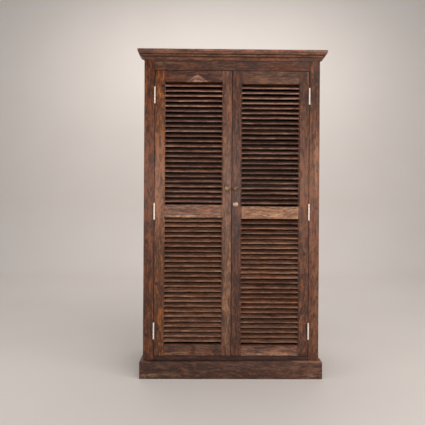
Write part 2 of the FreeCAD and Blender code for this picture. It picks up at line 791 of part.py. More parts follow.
def lock():
    """A cam lock through the right door's meeting stile, which catches a strike on the left door."""
    x, z = "meeting_edge + lock_inset", "lock_height"
    face_y = "front - lock_face_thickness"
    barrel_run = "lock_face_thickness + door_thickness + lock_tail"
    rim = rod(x, face_y, z, "lock_face_radius", "lock_face_thickness")
    shank = rod(x, face_y, z, "lock_radius", barrel_run)
    bore = rod(x, face_y, z, "plug_radius + fit_clearance", barrel_run)
    part("lock_barrel", cut(fuse([shank, rim]), [bore]))

    nut = primitive("Prism", (x, "door_back", z), TO_BACK, Circumradius="nut_radius",
                    Height="nut_thickness")
    part("lock_nut", cut(nut, [rod(x, "door_back", z, "lock_radius + fit_clearance",
                                   "nut_thickness")]))

    plug = rod(x, face_y, z, "plug_radius", f"{barrel_run} + cam_clearance")
    keyway = box(f"{x} - keyway_width / 2", face_y, f"{z} - keyway_height / 2", "keyway_width",
                 "keyway_depth", "keyway_height")
    part("lock_plug", cut(plug, [keyway]))

    reach = "(cam_length - 2 * cam_radius)"
    hub = rod(x, "cam_front", z, "cam_radius", "cam_thickness")
    tip = rod(x, "cam_front", f"{z} - {reach}", "cam_radius", "cam_thickness")
    arm = box(f"{x} - cam_radius", "cam_front", f"{z} - {reach}", "2 * cam_radius", "cam_thickness",
              reach)
    part("lock_cam", fuse([hub, tip, arm]))

    part("lock_strike", box("-meeting_edge - strike_width", "door_back",
                            "lock_height - strike_height / 2", "strike_width", "lock_tail",
                            "strike_height"))


def slide_bolt(name, end, up):
    """A flat bolt on the inside of the left door, drawn back; up is 1 at the top, -1 at the bottom.

    Returns the plate with its two staples, which stays on the door.
    """
    low = f"({end} - bolt_plate_length)" if up > 0 else f"({end})"
    base = box("bolt_x - bolt_plate_width / 2", "door_back", low, "bolt_plate_width",
               "bolt_plate_thickness", "bolt_plate_length")
    staple_width = "(bolt_width + 2 * (bolt_play + bolt_staple_wall))"
    staples = [
        box(f"bolt_x - {staple_width} / 2", "door_back", start, staple_width,
            "bolt_plate_thickness + bolt_thickness + 2 * bolt_play + bolt_staple_wall",
            "bolt_staple_length")
        for start in (low, f"{low} + bolt_plate_length - bolt_staple_length")
    ]
    tunnel = box("bolt_x - bolt_width / 2 - bolt_play", "bolt_front - bolt_play", low,
                 "bolt_width + 2 * bolt_play", "bolt_thickness + 2 * bolt_play", "bolt_plate_length")
    shoot = box("bolt_x - bolt_width / 2", "bolt_front", low, "bolt_width", "bolt_thickness",
                "bolt_plate_length")
    grip = box("bolt_x - bolt_grip / 2", "bolt_front",
               f"{low} + (bolt_plate_length - bolt_grip - {up} * bolt_throw) / 2", "bolt_grip",
               "bolt_thickness + bolt_grip_length", "bolt_grip")
    part(f"{name}_bolt", fuse([shoot, grip]))
    return cut(fuse([base] + staples), [tunnel])


def bolts():
    plates = [
        slide_bolt("top", "opening_top - stop_overlap - keeper_thickness - bolt_end_gap", 1),
        slide_bolt("bottom", "opening_bottom + stop_overlap + keeper_thickness + bolt_end_gap", -1),
    ]
    part("bolt_plates", group(plates))


# ---- build, check and write ----

def check():
    """Stops if any object failed or any sub-part is empty or not valid."""
    for made in doc.Objects:
        if "Invalid" in made.State or "Error" in made.State:
            raise ValueError(f"{made.Label}: {made.State}")
    for made in parts:
        shape = made.Shape
        if shape.isNull() or not shape.Solids or not shape.isValid():
            raise ValueError(f"{made.Label}: no valid solid")


def write():
    os.makedirs("parts", exist_ok=True)
    for made in parts:
        made.Shape.exportStep(f"parts/{made.Label}.step")


carcass()
for door_name, door_side in SIDES.items():
    door(door_name, door_side)
lock()
bolts()
doc.recompute()
check()
write()
print(len(parts), "nodes", sum(len(made.Shape.Solids) for made in parts), "solids")
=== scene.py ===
"""Louvred door cabinet in dark waxed sheesham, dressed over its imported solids.

Shapes are worked out in millimetres and put into meshes in metres. X runs to the right, Y to the
back and Z up; the doors face -Y. Every board, moulding, slat and fitting is a closed surface.
"""
import json
import math
from functools import partial

import bpy
import numpy as np
from bpy.props import FloatProperty, FloatVectorProperty, IntProperty, PointerProperty
from mathutils import Matrix, Vector


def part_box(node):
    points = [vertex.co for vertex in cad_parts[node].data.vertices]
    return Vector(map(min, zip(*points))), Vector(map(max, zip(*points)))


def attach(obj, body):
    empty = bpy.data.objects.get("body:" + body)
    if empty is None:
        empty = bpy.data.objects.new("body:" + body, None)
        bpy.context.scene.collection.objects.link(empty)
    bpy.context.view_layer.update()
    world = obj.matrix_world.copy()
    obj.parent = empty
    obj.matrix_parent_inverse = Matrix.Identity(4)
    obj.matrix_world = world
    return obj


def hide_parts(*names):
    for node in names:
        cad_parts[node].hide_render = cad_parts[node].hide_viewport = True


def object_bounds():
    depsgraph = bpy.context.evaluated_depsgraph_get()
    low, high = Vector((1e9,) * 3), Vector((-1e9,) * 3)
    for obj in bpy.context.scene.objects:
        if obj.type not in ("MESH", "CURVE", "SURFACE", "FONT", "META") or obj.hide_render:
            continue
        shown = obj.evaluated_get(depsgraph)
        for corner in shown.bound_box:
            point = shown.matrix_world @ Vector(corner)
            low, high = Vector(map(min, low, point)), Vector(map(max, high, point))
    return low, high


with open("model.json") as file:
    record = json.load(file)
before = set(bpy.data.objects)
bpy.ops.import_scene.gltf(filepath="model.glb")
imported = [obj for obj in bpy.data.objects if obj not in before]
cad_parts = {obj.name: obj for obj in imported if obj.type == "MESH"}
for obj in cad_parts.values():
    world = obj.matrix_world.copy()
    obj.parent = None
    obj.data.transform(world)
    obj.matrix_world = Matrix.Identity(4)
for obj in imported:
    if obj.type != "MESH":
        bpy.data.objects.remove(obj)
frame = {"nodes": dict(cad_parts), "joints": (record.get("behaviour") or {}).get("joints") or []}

bl_info = {
    "name": "Louvred Door Cabinet",
    "version": (1, 0, 0),
    "blender": (4, 5, 0),
    "location": "3D View > Sidebar > Cabinet",
    "description": "Builds the boards, louvres, mouldings and fittings of a louvred cupboard",
    "category": "Add Mesh",
}

MM = 0.001
CAD_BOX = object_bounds()
SIDES = {"left": -1, "right": 1}
X, Y, Z = 0, 1, 2


# ---- places taken from the frame ----

def corners(node):
    """A node's lowest and highest corners in millimetres."""
    low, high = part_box(node)
    return np.array(low) / MM, np.array(high) / MM


FRONT = corners("left_front_post")[0][Y]
DOOR_BACK = corners("left_hinge_stile")[1][Y]
POST_INNER, POST_OUTER = (corner[X] for corner in corners("right_front_post"))
DOOR_EDGE = corners("right_hinge_stile")[1][X]
PIN = {joint["name"]: joint.get("pos_m") for joint in frame["joints"]}["right_door_hinge"]
PIN_X, PIN_Y = PIN[X] / MM, PIN[Y] / MM

# ---- sizes in millimetres ----

SLAT_TILT = math.radians(38)
SLAT_WIDTH, SLAT_THICKNESS, SLAT_ARRIS = 33.0, 8.0, 2.2
TILT_SPREAD, LIFT_SPREAD = math.radians(0.9), 0.35  # from slat to slat
HOUSING = 9.0  # how far a slat's end runs into the stile
HINGE_LENGTH, KNUCKLES, KNUCKLE_RADIUS, PIN_RADIUS = 101.6, 5, 4.75, 2.4
LEAF, LEAF_DEPTH = 2.0, 30.0
LEAF_SCREWS = ((10, 38), (20, 13), (10, -13), (20, -38))  # depth, and height from the middle
MIDDLE_HINGE_LIFT = 10.0
BOLT_PLATE = 2.0  # its thickness
SCREW_DOME, SCREW_SLOT = 0.25, 0.7  # how far a head stands up, and how deep its slot is
CHAMFER, RUNOUT = 7.0, 9.0  # on the stiles beside the louvres, and the length it fades out over
LAP = 0.3  # how far a rail runs into the post or stile, so that no light shows
STEP, LONG_STEP = 45.0, 60.0  # between the rings of a board, and of a moulding or a leaf
ARC = 3  # steps round each eased arris
SUPPORT = 1.6  # from an arris to the points beside it, which keep the flats' shading flat
CREASE = math.radians(40)


# ---- colours and nodes ----

def srgb(code):
    """A hex code as three sRGB numbers from 0 to 1."""
    return [int(code[i:i + 2], 16) / 255 for i in (1, 3, 5)]


def linear(colour):
    """An sRGB colour, as a hex code or three numbers, turned to linear RGBA."""
    parts = srgb(colour) if isinstance(colour, str) else colour
    return [c / 12.92 if c <= 0.04045 else ((c + 0.055) / 1.055) ** 2.4 for c in parts] + [1.0]


def add(tree, kind, *inputs, **named):
    """Adds a shader node whose inputs are values, sockets or nodes.

    kind is its type, then its operation if that isn't ADD. Inputs go to the sockets in use, in
    order, or by name; a node passes on its first output in use. Other names are the node's
    settings, which come first because they decide what is in use.
    """
    kind, *operation = kind.split()
    node = tree.nodes.new("ShaderNode" + kind)
    if operation:
        node.operation = operation[0]
    sockets = {name: named.pop(name) for name in [*named] if name in node.inputs}
    for setting, value in named.items():
        setattr(node, setting, value)
    given = [*zip((socket for socket in node.inputs if socket.enabled), inputs),
             *((node.inputs[name], value) for name, value in sockets.items())]
    for socket, value in given:
        if isinstance(value, bpy.types.Node):
            value = next(output for output in value.outputs if output.enabled)
        if isinstance(value, bpy.types.NodeSocket):
            tree.links.new(value, socket)
        else:
            socket.default_value = value
    return node


BLEND = {"data_type": "RGBA"}
TINT = {"data_type": "RGBA", "blend_type": "MULTIPLY"}
SOFT = {"interpolation_type": "SMOOTHSTEP"}


def new_material(name):
    """An empty material, and add for its node tree."""
    material = bpy.data.materials.new(name)
    material.use_nodes = True
    material.node_tree.nodes.clear()
    return material, partial(add, material.node_tree)


def noise(node, source, grain, seed, across, along, detail, rough):
    """Noise drawn out along the grain, its cells across and along given in millimetres."""
    scale = [1 / (across * MM)] * 3
    scale[grain] = 1 / (along * MM)
    place = node("Mapping", source, Location=(seed, seed * 1.7, seed * 0.6), Scale=scale)
    return node("TexNoise", place, 1.0, detail, rough)


def oval(node, source, x, z, half_width, half_height, half_depth=50.0):
    """How far a point lies from a spot on the front, where 1 is the spot's edge."""
    inside = node("Mapping", source, Location=(x * MM, FRONT * MM, z * MM),
                  Scale=(half_width * MM, half_depth * MM, half_height * MM),
                  vector_type="TEXTURE")
    return node("VectorMath LENGTH", inside)


# ---- timber ----

LAYERS = {
    # seed, cell across and along the fibres in mm, detail, roughness. The real fibres and pores
    # are about 0.2 mm wide; these are drawn as coarse as they need to be to show.
    "slow": (0, 80, 420, 1.0, 0.4),  # its level lines are the growth rings
    "patch": (7, 30, 85, 3.0, 0.65),
    "streak": (3, 13, 190, 3.0, 0.6),
    "fleck": (9, 7, 26, 2.0, 0.6),
    "fibre": (5, 3.2, 60, 3.0, 0.65),
    "glow": (11, 34, 80, 2.0, 0.6),
    "pores": (13, 5, 24, 2.0, 0.6),
}
SWING = 50 * MM  # how far the grain of a wide board wanders
RINGS = 66.0  # radians that the rings' wave turns through over the slow noise
KNOT_HEART, GABLE = "#2a150b", "#8d6656"
# These multiply the colour under them.
REDDER, PORE = (1.35, 0.95, 0.62, 1), (0.42, 0.36, 0.33, 1)
# The second pales worn places; its whitish grey is also painted sheen on arrises and noses.
KNOT_RIM, WORN_AND_SHEEN = (1.25, 0.95, 0.75, 1), (1.95, 1.95, 2.0, 1)
# A painted shadow round each hinge barrel, as from light on the right: factor, then size.
HINGE_SHADOW, HINGE_SHADOW_SIZE = (0.28, 0.26, 0.27, 1), (11, 57, 20)  # half width, height and depth in mm


def change(code, body):
    """What the body colour is multiplied by to give another."""
    return [new / old for new, old in zip(linear(code), body)]


def timber(name, grain, shades, seed=0, knots=(), contrast=1.0, mottle=1.0, figure=1.0,
           plank=None, gable=None, bend=1.0, grime=()):
    """Sheesham or mango, planed, stained and waxed or oiled: satin over streaks, rings and knots.

    grain is the axis that the fibres run along, and shades are its dark, body and light colours.
    knots are (x, z, half width, half height, depth) in millimetres on the front, with a sixth
    value for a patch of another colour. plank is the width of each board in a boarded back. gable
    is a pale three-cornered figure: (x, z, half width, rise). bend is how far the grain wanders:
    1 for a wide board, less for a slat ripped straight. The last argument lists the (x, z) of a
    shadow painted on the board round each hinge barrel.
    Vertex values shift it: piece moves the pattern, tone lightens, warm reddens, wear pales.
    Tone, warm and wear also carry painted light and shade: highlights, sheen and shadow.
    """
    material, node = new_material(name)
    dark, body, light = map(linear, shades.split())
    place = node("TexCoord").outputs["Object"]
    wander = node("TexNoise", place, Scale=4.5, Detail=2.0).outputs["Color"]
    offset = node("VectorMath MULTIPLY_ADD", wander, (SWING * bend,) * 3, (-SWING / 2 * bend,) * 3)
    near = node("VectorMath MULTIPLY_ADD", offset, (0.3,) * 3, place)
    piece = node("Attribute", attribute_name="piece").outputs["Vector"]
    bent = node("VectorMath", node("VectorMath", place, offset), piece)
    tone, warm, wear = (node("Attribute", attribute_name=key).outputs["Fac"]
                        for key in ("tone", "warm", "wear"))
    slow, patch, streak, fleck, fibre, glow, pores = (
        noise(node, bent, grain, seed + shift, *cells) for shift, *cells in LAYERS.values())

    rings = node("Math SINE", node("Math MULTIPLY", slow, RINGS))
    strength = node("Math MULTIPLY", patch, 0.2 * figure)
    shade = node("Math MULTIPLY_ADD", rings, strength, 0.5)
    for layer, amount in ((streak, 1.7), (patch, 1.7 * mottle), (fleck, 1.6), (fibre, 1.9)):
        centred = node("Math SUBTRACT", layer, 0.5)
        shade = node("Math MULTIPLY_ADD", centred, amount * contrast, shade)
    if plank:
        x = node("SeparateXYZ", place).outputs[X]
        row = node("Math MULTIPLY_ADD", x, 1 / (plank * MM), 0.5)
        middle = node("Math SUBTRACT", node("Math FRACT", row), 0.5)
        seam = node("MapRange", node("Math ABSOLUTE", middle), 0.485, 0.495, 0.0, 0.5)
        own = node("TexWhiteNoise", node("Math FLOOR", row), noise_dimensions="1D")
        centred = node("Math SUBTRACT", own, 0.5)
        shade = node("Math SUBTRACT", shade, seam)
        shade = node("Math MULTIPLY_ADD", centred, 0.6, shade)

    ramp = node("ValToRGB", node("Math", shade, tone, use_clamp=True))
    stops = ramp.color_ramp.elements
    stops[0].color = [0.75 * deep + 0.25 * usual for deep, usual in zip(dark, body)]
    stops[1].position, stops[1].color = 0.95, light
    stops.new(0.5).color = body
    glow = node("Math SUBTRACT", glow, 0.54)
    glow = node("Math MULTIPLY_ADD", glow, 4.0, warm, use_clamp=True)
    colour = node("Mix", node("Math MULTIPLY", glow, 0.7), ramp, REDDER, **TINT)

    for x, z, half_width, half_height, depth, *other in knots:
        away = oval(node, near, x, z, half_width, half_height)
        spot = node("MapRange", away, 1.5, 0.8, 0.0, min(1.25 * depth, 1), **SOFT)
        if other:
            broken = node("Math SUBTRACT", streak, 0.5)
            broken = node("Math MULTIPLY_ADD", broken, 4.0, 0.9, use_clamp=True)
            spot = node("Math MULTIPLY", spot, broken)
            colour = node("Mix", spot, colour, change(other[0], body), **TINT)
        else:
            rim = node("MapRange", away, 2.6, 1.1, 0.0, 0.6 * depth, **SOFT)
            colour = node("Mix", rim, colour, KNOT_RIM, **TINT)
            colour = node("Mix", spot, colour, linear(KNOT_HEART), **BLEND)
    # a painted shadow round each hinge barrel, a little to its left, as from light on the right
    for x, z in grime:
        shadow_mask = node("MapRange", oval(node, place, x, z, *HINGE_SHADOW_SIZE), 1.15, 0.75, 0.0, 0.8, **SOFT)
        colour = node("Mix", shadow_mask, colour, HINGE_SHADOW, **TINT)
    if gable:
        x, z, half_width, rise = (value * MM for value in gable)
        split = node("SeparateXYZ", near).outputs
        across = node("Math SUBTRACT", split[X], x)
        across = node("Math ABSOLUTE", across)
        up = node("Math MULTIPLY_ADD", split[Z], 1 / rise, -z / rise)
        under = node("Math MULTIPLY_ADD", across, 1 / half_width, up)
        inside = node("MapRange", under, 1.06, 0.96, 0.0, 0.6, **SOFT)
        skin_deep = node("MapRange", split[Y], (FRONT + 14) * MM, (FRONT + 8) * MM)
        factor = node("Math MULTIPLY", inside, skin_deep)
        colour = node("Mix", factor, colour, change(GABLE, body), **TINT)

    pores = node("MapRange", pores, 0.57, 0.66, 0.0, 0.85)
    colour = node("Mix", pores, colour, PORE, **TINT)
    # paler where worn, and where wear paints highlights: slat noses, crown ridge, plinth ledge
    worn = node("Math MULTIPLY", wear, node("Math", streak, 0.1), use_clamp=True)
    colour = node("Mix", worn, colour, WORN_AND_SHEEN, **TINT)
    height = node("Math MULTIPLY_ADD", streak, 0.8, fibre)
    height = node("Math MULTIPLY_ADD", pores, -0.3, height)
    node("OutputMaterial", node("BsdfPrincipled", **{
        "Base Color": colour,
        "Roughness": node("Math MULTIPLY_ADD", fibre, 0.16, 0.32),
        "Normal": node("Bump", Strength=0.6, Distance=0.0008, Height=height),
        "IOR": 1.5, "Specular IOR Level": 0.45}))
    return material


EVEN = ((0, 0), (1, 0))  # (place on the run from 0 to 1, what is added there)
WARMTH = {  # where a stile reddens; the left hinge stile's dip at middle height is painted sheen
    "left_hinge_stile": ((0.3, 0.0), (0.5, -1.3), (0.72, -1.3), (0.85, 0.2), (1, 0.8)),
    "right_hinge_stile": ((0.4, 0.0), (0.5, 0.4), (0.6, 0.0))}
SHEEN_TONES = {  # where a board is paler, mostly painted sheen at middle height, or darker
    "left_front_post": ((0, -0.1), (0.35, -0.05), (0.55, 0.24), (0.75, 0.22), (0.95, -0.02)),
    "right_front_post": ((0, 0.08), (0.4, 0.14), (0.55, 0.4), (0.72, 0.3), (0.88, -0.28),
                         (1, -0.28)),
    "left_hinge_stile": ((0, -0.2), (0.35, -0.1), (0.52, 0.38), (0.72, 0.38), (0.92, 0.04)),
    "left_meeting_stile": ((0, -0.14), (0.38, -0.1), (0.55, 0.18), (0.75, 0.14), (0.95, 0.0)),
    "right_hinge_stile": ((0, -0.02), (0.4, 0.0), (0.55, 0.34), (0.7, 0.28), (0.88, -0.08)),
    "right_meeting_stile": ((0, -0.02), (0.4, 0.0), (0.55, 0.08), (0.75, 0.06), (0.95, -0.05)),
    "frieze_rail": ((0, 0.12), (0.3, 0.02), (0.5, -0.1), (0.7, -0.06), (1, -0.03))}
SLAT = dict(grain=X, contrast=0.6, mottle=0.6, bend=0.2)
WOODS = {  # each board of the front, by its node or moulding: what timber makes it from
    "left_front_post": dict(seed=1, shades="#230f07 #4e2713 #78421f", knots=(
        (-516, 1522, 9, 24, 0.6), (-522, 835, 8, 14, 0.7), (-526, 775, 5, 8, 0.7),
        (-505, 1120, 6, 18, 0.5), (-500, 640, 7, 20, 0.5), (-520, 262, 6, 9, 0.9),
        (-534, 1765, 9, 85, 0.5, "#6b3a1c"))),
    "right_front_post": dict(seed=2, shades="#29160e #573220 #7d4c30", knots=(
        (508, 1897, 30, 24, 0.5, "#7a4528"), (518, 1330, 9, 170, 0.35, "#7b533e"),
        (500, 1480, 6, 18, 0.6), (524, 610, 5, 12, 0.6))),
    "frieze_rail": dict(seed=3, shades="#25140e #492b20 #65402a", knots=(
        (330, 1904, 140, 17, 0.8, "#522609"), (-400, 1926, 72, 6, 0.5, "#6e4f40"),
        (120, 1900, 30, 6, 0.5))),
    "bottom_rail": dict(seed=4, shades="#1d0d09 #361d16 #4e2d22"),
    "crown": dict(seed=5, shades="#311f19 #623f2d #895a44", contrast=0.8,
                  knots=((-244, 1969, 7, 6, 0.8, "#9a6a44"),)),
    "plinth": dict(seed=6, shades="#23120c #43281d #674432", contrast=0.75,
                   knots=((-450, 18, 110, 18, 0.5, "#6a4a38"), (498, 22, 24, 9, 0.25, "#7a5946"),
                          (531, 16, 7, 11, 0.6, "#3a1c12"))),
    "left_hinge_stile": dict(seed=7, shades="#2a160c #5f3517 #915626", knots=(
        (-421, 1788, 15, 7, 0.9), (-442, 1752, 9, 20, 0.5, "#8a5224"), (-456, 577, 7, 9, 0.95),
        (-448, 300, 6, 7, 0.8), (-430, 1215, 5, 24, 0.5), (-441, 1180, 40, 250, 0.7, "#613e30"))),
    "left_meeting_stile": dict(seed=8, shades="#362017 #63402f #845943", knots=(
        (-14, 1812, 4, 4, 1.0), (-26, 560, 20, 330, 0.25, "#8d6c50"))),
    "right_meeting_stile": dict(seed=9, shades="#23120c #4a2b1f #70422a", knots=(
        (24, 1780, 5, 8, 0.7), (30, 1500, 4, 7, 0.6), (38, 640, 6, 16, 0.5, "#6f4426"),
        (20, 430, 5, 9, 0.7), (53, 600, 4, 70, 0.5))),
    "right_hinge_stile": dict(seed=10, shades="#24110c #512e1f #78492a", knots=(
        (440, 1800, 8, 14, 0.5, "#744a26"), (428, 1250, 5, 22, 0.7), (447, 760, 6, 10, 0.8),
        (435, 620, 8, 16, 0.6), (450, 480, 7, 20, 0.5, "#754a27"))),
    "left_top_rail": dict(seed=11, shades="#25130e #4c2b1f #6b422e",
                          gable=(-214, 1811, 72, 46)),
    "left_mid_rail": dict(seed=12, shades="#3a2219 #6d4938 #91644a", knots=(
        (-130, 1040, 70, 16, 0.4, "#7a4630"), (-240, 990, 160, 6, 0.5, "#a07c62"),
        (-300, 1022, 24, 8, 0.4))),
    "left_bottom_rail": dict(seed=13, shades="#2d1910 #533425 #724b35", knots=(
        (-89, 164, 22, 13, 0.6), (-89, 164, 13, 7, 0.7, "#6b4a35"), (-230, 170, 12, 26, 0.5),
        (-330, 150, 60, 8, 0.4, "#77573f"))),
    "right_top_rail": dict(seed=14, shades="#341f15 #583929 #77523a"),
    "right_mid_rail": dict(seed=15, shades="#4d311d #8b6046 #ac7e58", knots=(
        (88, 1047, 15, 1.5, 0.7), (112, 1045, 9, 1.3, 0.7), (150, 1043, 11, 1.7, 0.6),
        (176, 1045, 6, 1.3, 0.7), (215, 1047, 18, 1.4, 0.7), (262, 1044, 9, 1.6, 0.6),
        (290, 1045, 12, 1.5, 0.6), (250, 1004, 120, 12, 0.3, "#ad8462"))),
    "right_bottom_rail": dict(seed=16, shades="#321e17 #5f3f33 #845c49", knots=(
        (240, 149, 170, 9, 0.3, "#8c6a52"), (180, 180, 30, 5, 0.5))),
    "left_upper_louvres": dict(SLAT, seed=17, shades="#2b1b16 #62453a #93705f"),
    "left_lower_louvres": dict(SLAT, seed=18, shades="#2a1914 #5c4031 #876350", knots=(
        (-375, 271, 6, 3, 0.9), (-60, 600, 40, 5, 0.4, "#7d4d2a"))),
    "right_upper_louvres": dict(SLAT, seed=19, shades="#281814 #593f34 #866555", knots=(
        (210, 1240, 40, 8, 0.5, "#7a4a2f"),)),
    "right_lower_louvres": dict(SLAT, seed=20, shades="#281712 #573b2d #7f5c49", knots=(
        (180, 560, 30, 6, 0.5), (250, 380, 26, 6, 0.5), (210, 905, 60, 10, 0.5))),
}
MANGO = "#1b120d #33241a #4a3628"  # oiled, not waxed: plainer, and painted darker as shade inside
BACK_BOARDS = 9
INSIDE = (  # each finish of the sides, back and inside, and the nodes that wear it
    ("waxed sheesham, rear posts",
     dict(grain=Z, seed=31, shades="#291712 #553324 #7c4f35"),
     ("left_rear_post", "right_rear_post")),
    ("waxed sheesham, side rails",
     dict(grain=Y, seed=32, shades="#2b1812 #563526 #7d5138", figure=0.6, contrast=0.75,
          mottle=0.7),
     ("left_side_rails", "right_side_rails")),
    ("waxed sheesham, side panels",
     dict(grain=Z, seed=33, shades="#2c1a14 #57382a #7e5640", figure=1.4, contrast=0.75,
          mottle=0.7),
     ("left_side_panels", "right_side_panels")),
    ("oiled mango, back boards",
     dict(grain=Z, seed=34, shades=MANGO, contrast=0.6, mottle=0.6,
          plank=2 * corners("back_boards")[1][X] / BACK_BOARDS),
     ("back_boards",)),
    ("oiled mango, shelves",
     dict(grain=X, seed=35, shades="#20150f #3a291e #523c2d"),
     ("bottom_board", "shelf_1", "shelf_2", "shelf_3", "shelf_4", "top_board")),
    ("oiled mango, stops and back rails",
     dict(grain=X, seed=36, shades=MANGO),
     ("back_rails", "top_door_stop", "bottom_door_stop")),
    ("oiled mango, cleats",
     dict(grain=Y, seed=37, shades=MANGO),
     ("left_shelf_cleats", "right_shelf_cleats")),
)


def finish(name, **values):
    """A timber finish by its name, made once."""
    return bpy.data.materials.get(name) or timber(name, **values)


def wood(key, **more):
    """The finish of one board of the front, by its key in WOODS."""
    return finish("waxed sheesham, " + key.replace("_", " "), **{**WOODS[key], **more})


# ---- metals ----

METALS = {
    # colour or the setting that holds it, tarnish, roughness, cloud in mm, cover, metallic
    "nickel plate, polished": ("nickel", "#b8aaa0", 0.42, 7.0, 0.3, 0.5),  # a thin grey bloom
    "nickel plate, dull": ("#a8a097", "#6e665e", 0.36, 8.0, 0.5, 0.9),  # cloudy, never polished
    "nickel plate, worn to brass": ("#c8a896", "#654a39", 0.3, 9.0, 0.65, 0.85),  # by the key
    "brass, aged": ("brass", "#3a291d", 0.36, 7.0, 0.9, 1.0),  # brown in its hollows
    "brass, browned": ("#7d6650", "#33231a", 0.38, 7.0, 0.9, 1.0),  # browner all over
}


def metal(name):
    """A plated or cast metal, bright where it is touched, with tarnish in clouds; made once."""
    if name in bpy.data.materials:
        return bpy.data.materials[name]
    colour, tarnish, rough, cell, cover, metallic = METALS[name]
    colour = getattr(bpy.context.scene.cabinet_metal, colour, colour)
    material, node = new_material(name)
    place = node("TexCoord").outputs["Object"]
    cloud = noise(node, place, Z, 0, cell, cell, 3.0, 0.6)
    specks = noise(node, place, Z, 4, cell / 6, cell / 6, 2.0, 0.6)
    film = node("Math MULTIPLY", specks, 0.3)
    film = node("Math MULTIPLY_ADD", cloud, 0.7, film)
    film = node("MapRange", film, 0.42, 0.68, 0.0, cover)
    node("OutputMaterial", node("BsdfPrincipled", **{
        "Base Color": node("Mix", film, linear(colour), linear(tarnish), **BLEND),
        "Roughness": node("Math MULTIPLY_ADD", film, 0.35, rough),
        "Normal": node("Bump", Strength=0.12, Distance=0.0003, Height=specks),
        "Metallic": metallic}))
    return material


# ---- surfaces: each gives its points in millimetres, its faces and its vertex values ----

def drift(along, seed, size, length):
    """A slow wander: three sines with lengths near the given one and phases set by the seed."""
    random = np.random.default_rng(seed)
    total = np.zeros(np.shape(along))
    for _ in range(3):
        total += np.sin(np.asarray(along) * 2 * np.pi / (length * random.uniform(0.6, 1.7))
                        + random.uniform(0, 2 * np.pi))
    return total * size / 3


def tube_faces(rings, around, start=0, caps=True, flip=False):
    """Quads of a grid of closed rings and its two end caps, wound to face outwards.

    flip turns them over, for a section that runs the other way round.
    """
    ring, turn = np.meshgrid(np.arange(rings - 1), np.arange(around), indexing="ij")
    after = (turn + 1) % around
    quads = np.stack([ring * around + turn, ring * around + after,
                      (ring + 1) * around + after, (ring + 1) * around + turn], axis=-1)
    faces = (quads.reshape(-1, 4) + start).tolist()
    if caps:
        faces.append((np.arange(around)[::-1] + start).tolist())
        faces.append((np.arange(around) + (rings - 1) * around + start).tolist())
    return [face[::-1] for face in faces] if flip else faces


def board_surface(low, high, run, ease, sway, seed, cuts=(), tone=EVEN, warm=EVEN, wear=1.0,
                  step=STEP):
    """A board: a rounded rectangle carried along its run.

    Each ring has four corner arcs with a support point on either side. Its corners wander by
    sway, and the arris radius breathes by half. The ends are drawn in over the arris radius.
    cuts are (corner, size, start, end): a flat chamfer in place of the arris between two
    stations. The arrises are worn pale in places, and painted shade darkens them like the seams.
    """
    u, v = (run + 1) % 3, (run + 2) % 3
    ends = ease * np.array([0, 0.4, 1.2])
    stops = [stop for *_, start, end in cuts for stop in (start - RUNOUT, start, end, end + RUNOUT)]
    along = np.unique(np.concatenate([
        low[run] + ends, np.arange(low[run] + step, high[run] - step / 2, step), stops,
        high[run] - ends]))
    along = along[(along >= low[run]) & (along <= high[run])]
    rings = len(along)
    drawn = np.interp(np.minimum(along - low[run], high[run] - along), ends,
                      [ease, ease * 0.3, 0])

    size = np.stack([ease * (1 + drift(along, seed + corner, 0.5, length=160))
                     for corner in range(4)], axis=-1)
    roundness = np.ones((rings, 4))
    for corner, cut, start, end in cuts:
        share = np.interp(along, [start - RUNOUT, start, end, end + RUNOUT], [0, 1, 1, 0])
        size[:, corner] = size[:, corner] * (1 - share) + cut * share
        roundness[:, corner] -= share

    sign = np.array([[1, 1], [-1, 1], [-1, -1], [1, -1]], float)
    at = np.array([[low[u], low[v]], [high[u], low[v]], [high[u], high[v]], [low[u], high[v]]])
    base = at + sign * drawn[:, None, None]
    base[..., 0] += drift(along, seed + 7, sway, length=420)[:, None]
    base[..., 1] += drift(along, seed + 9, sway, length=420)[:, None]
    angle = np.pi + np.arange(4)[:, None] * np.pi / 2 + np.linspace(0, np.pi / 2, ARC + 1)
    centre = base + sign * size[..., None]
    arc = centre[:, :, None] + size[..., None, None] * np.stack(
        [np.cos(angle), np.sin(angle)], axis=-1)
    share = np.linspace(0, 1, ARC + 1)[:, None]
    chord = arc[:, :, :1] * (1 - share) + arc[:, :, -1:] * share
    arc = chord + (arc - chord) * roundness[:, :, None, None]
    support = sign * (size + SUPPORT)[..., None]
    before = np.array([[0, 1], [1, 0], [0, 1], [1, 0]], float)
    section = np.concatenate([(base + support * before)[:, :, None], arc,
                              (base + support * (1 - before))[:, :, None]], axis=2)
    section = section.reshape(rings, -1, 2)

    points = np.empty((rings, section.shape[1], 3))
    points[..., run] = along[:, None]
    points[..., u], points[..., v] = section[..., 0], section[..., 1]
    place = ((along - low[run]) / (high[run] - low[run]))[:, None]
    # painted shade along every arris, like the shadow in the seams between boards
    grime = np.tile(np.r_[0, [-0.22] * (ARC + 1), 0], 4)
    worn = wear * np.tile(np.r_[0.05, [0.2] * (ARC + 1), 0.05], 4)
    values = {"tone": np.interp(place, *zip(*tone)) + grime,
              "warm": np.interp(place, *zip(*warm)) + 0 * grime,
              "wear": worn * (1 + drift(along, seed + 17, 0.5, length=110))[:, None]}
    return points, tube_faces(*points.shape[:2]), values


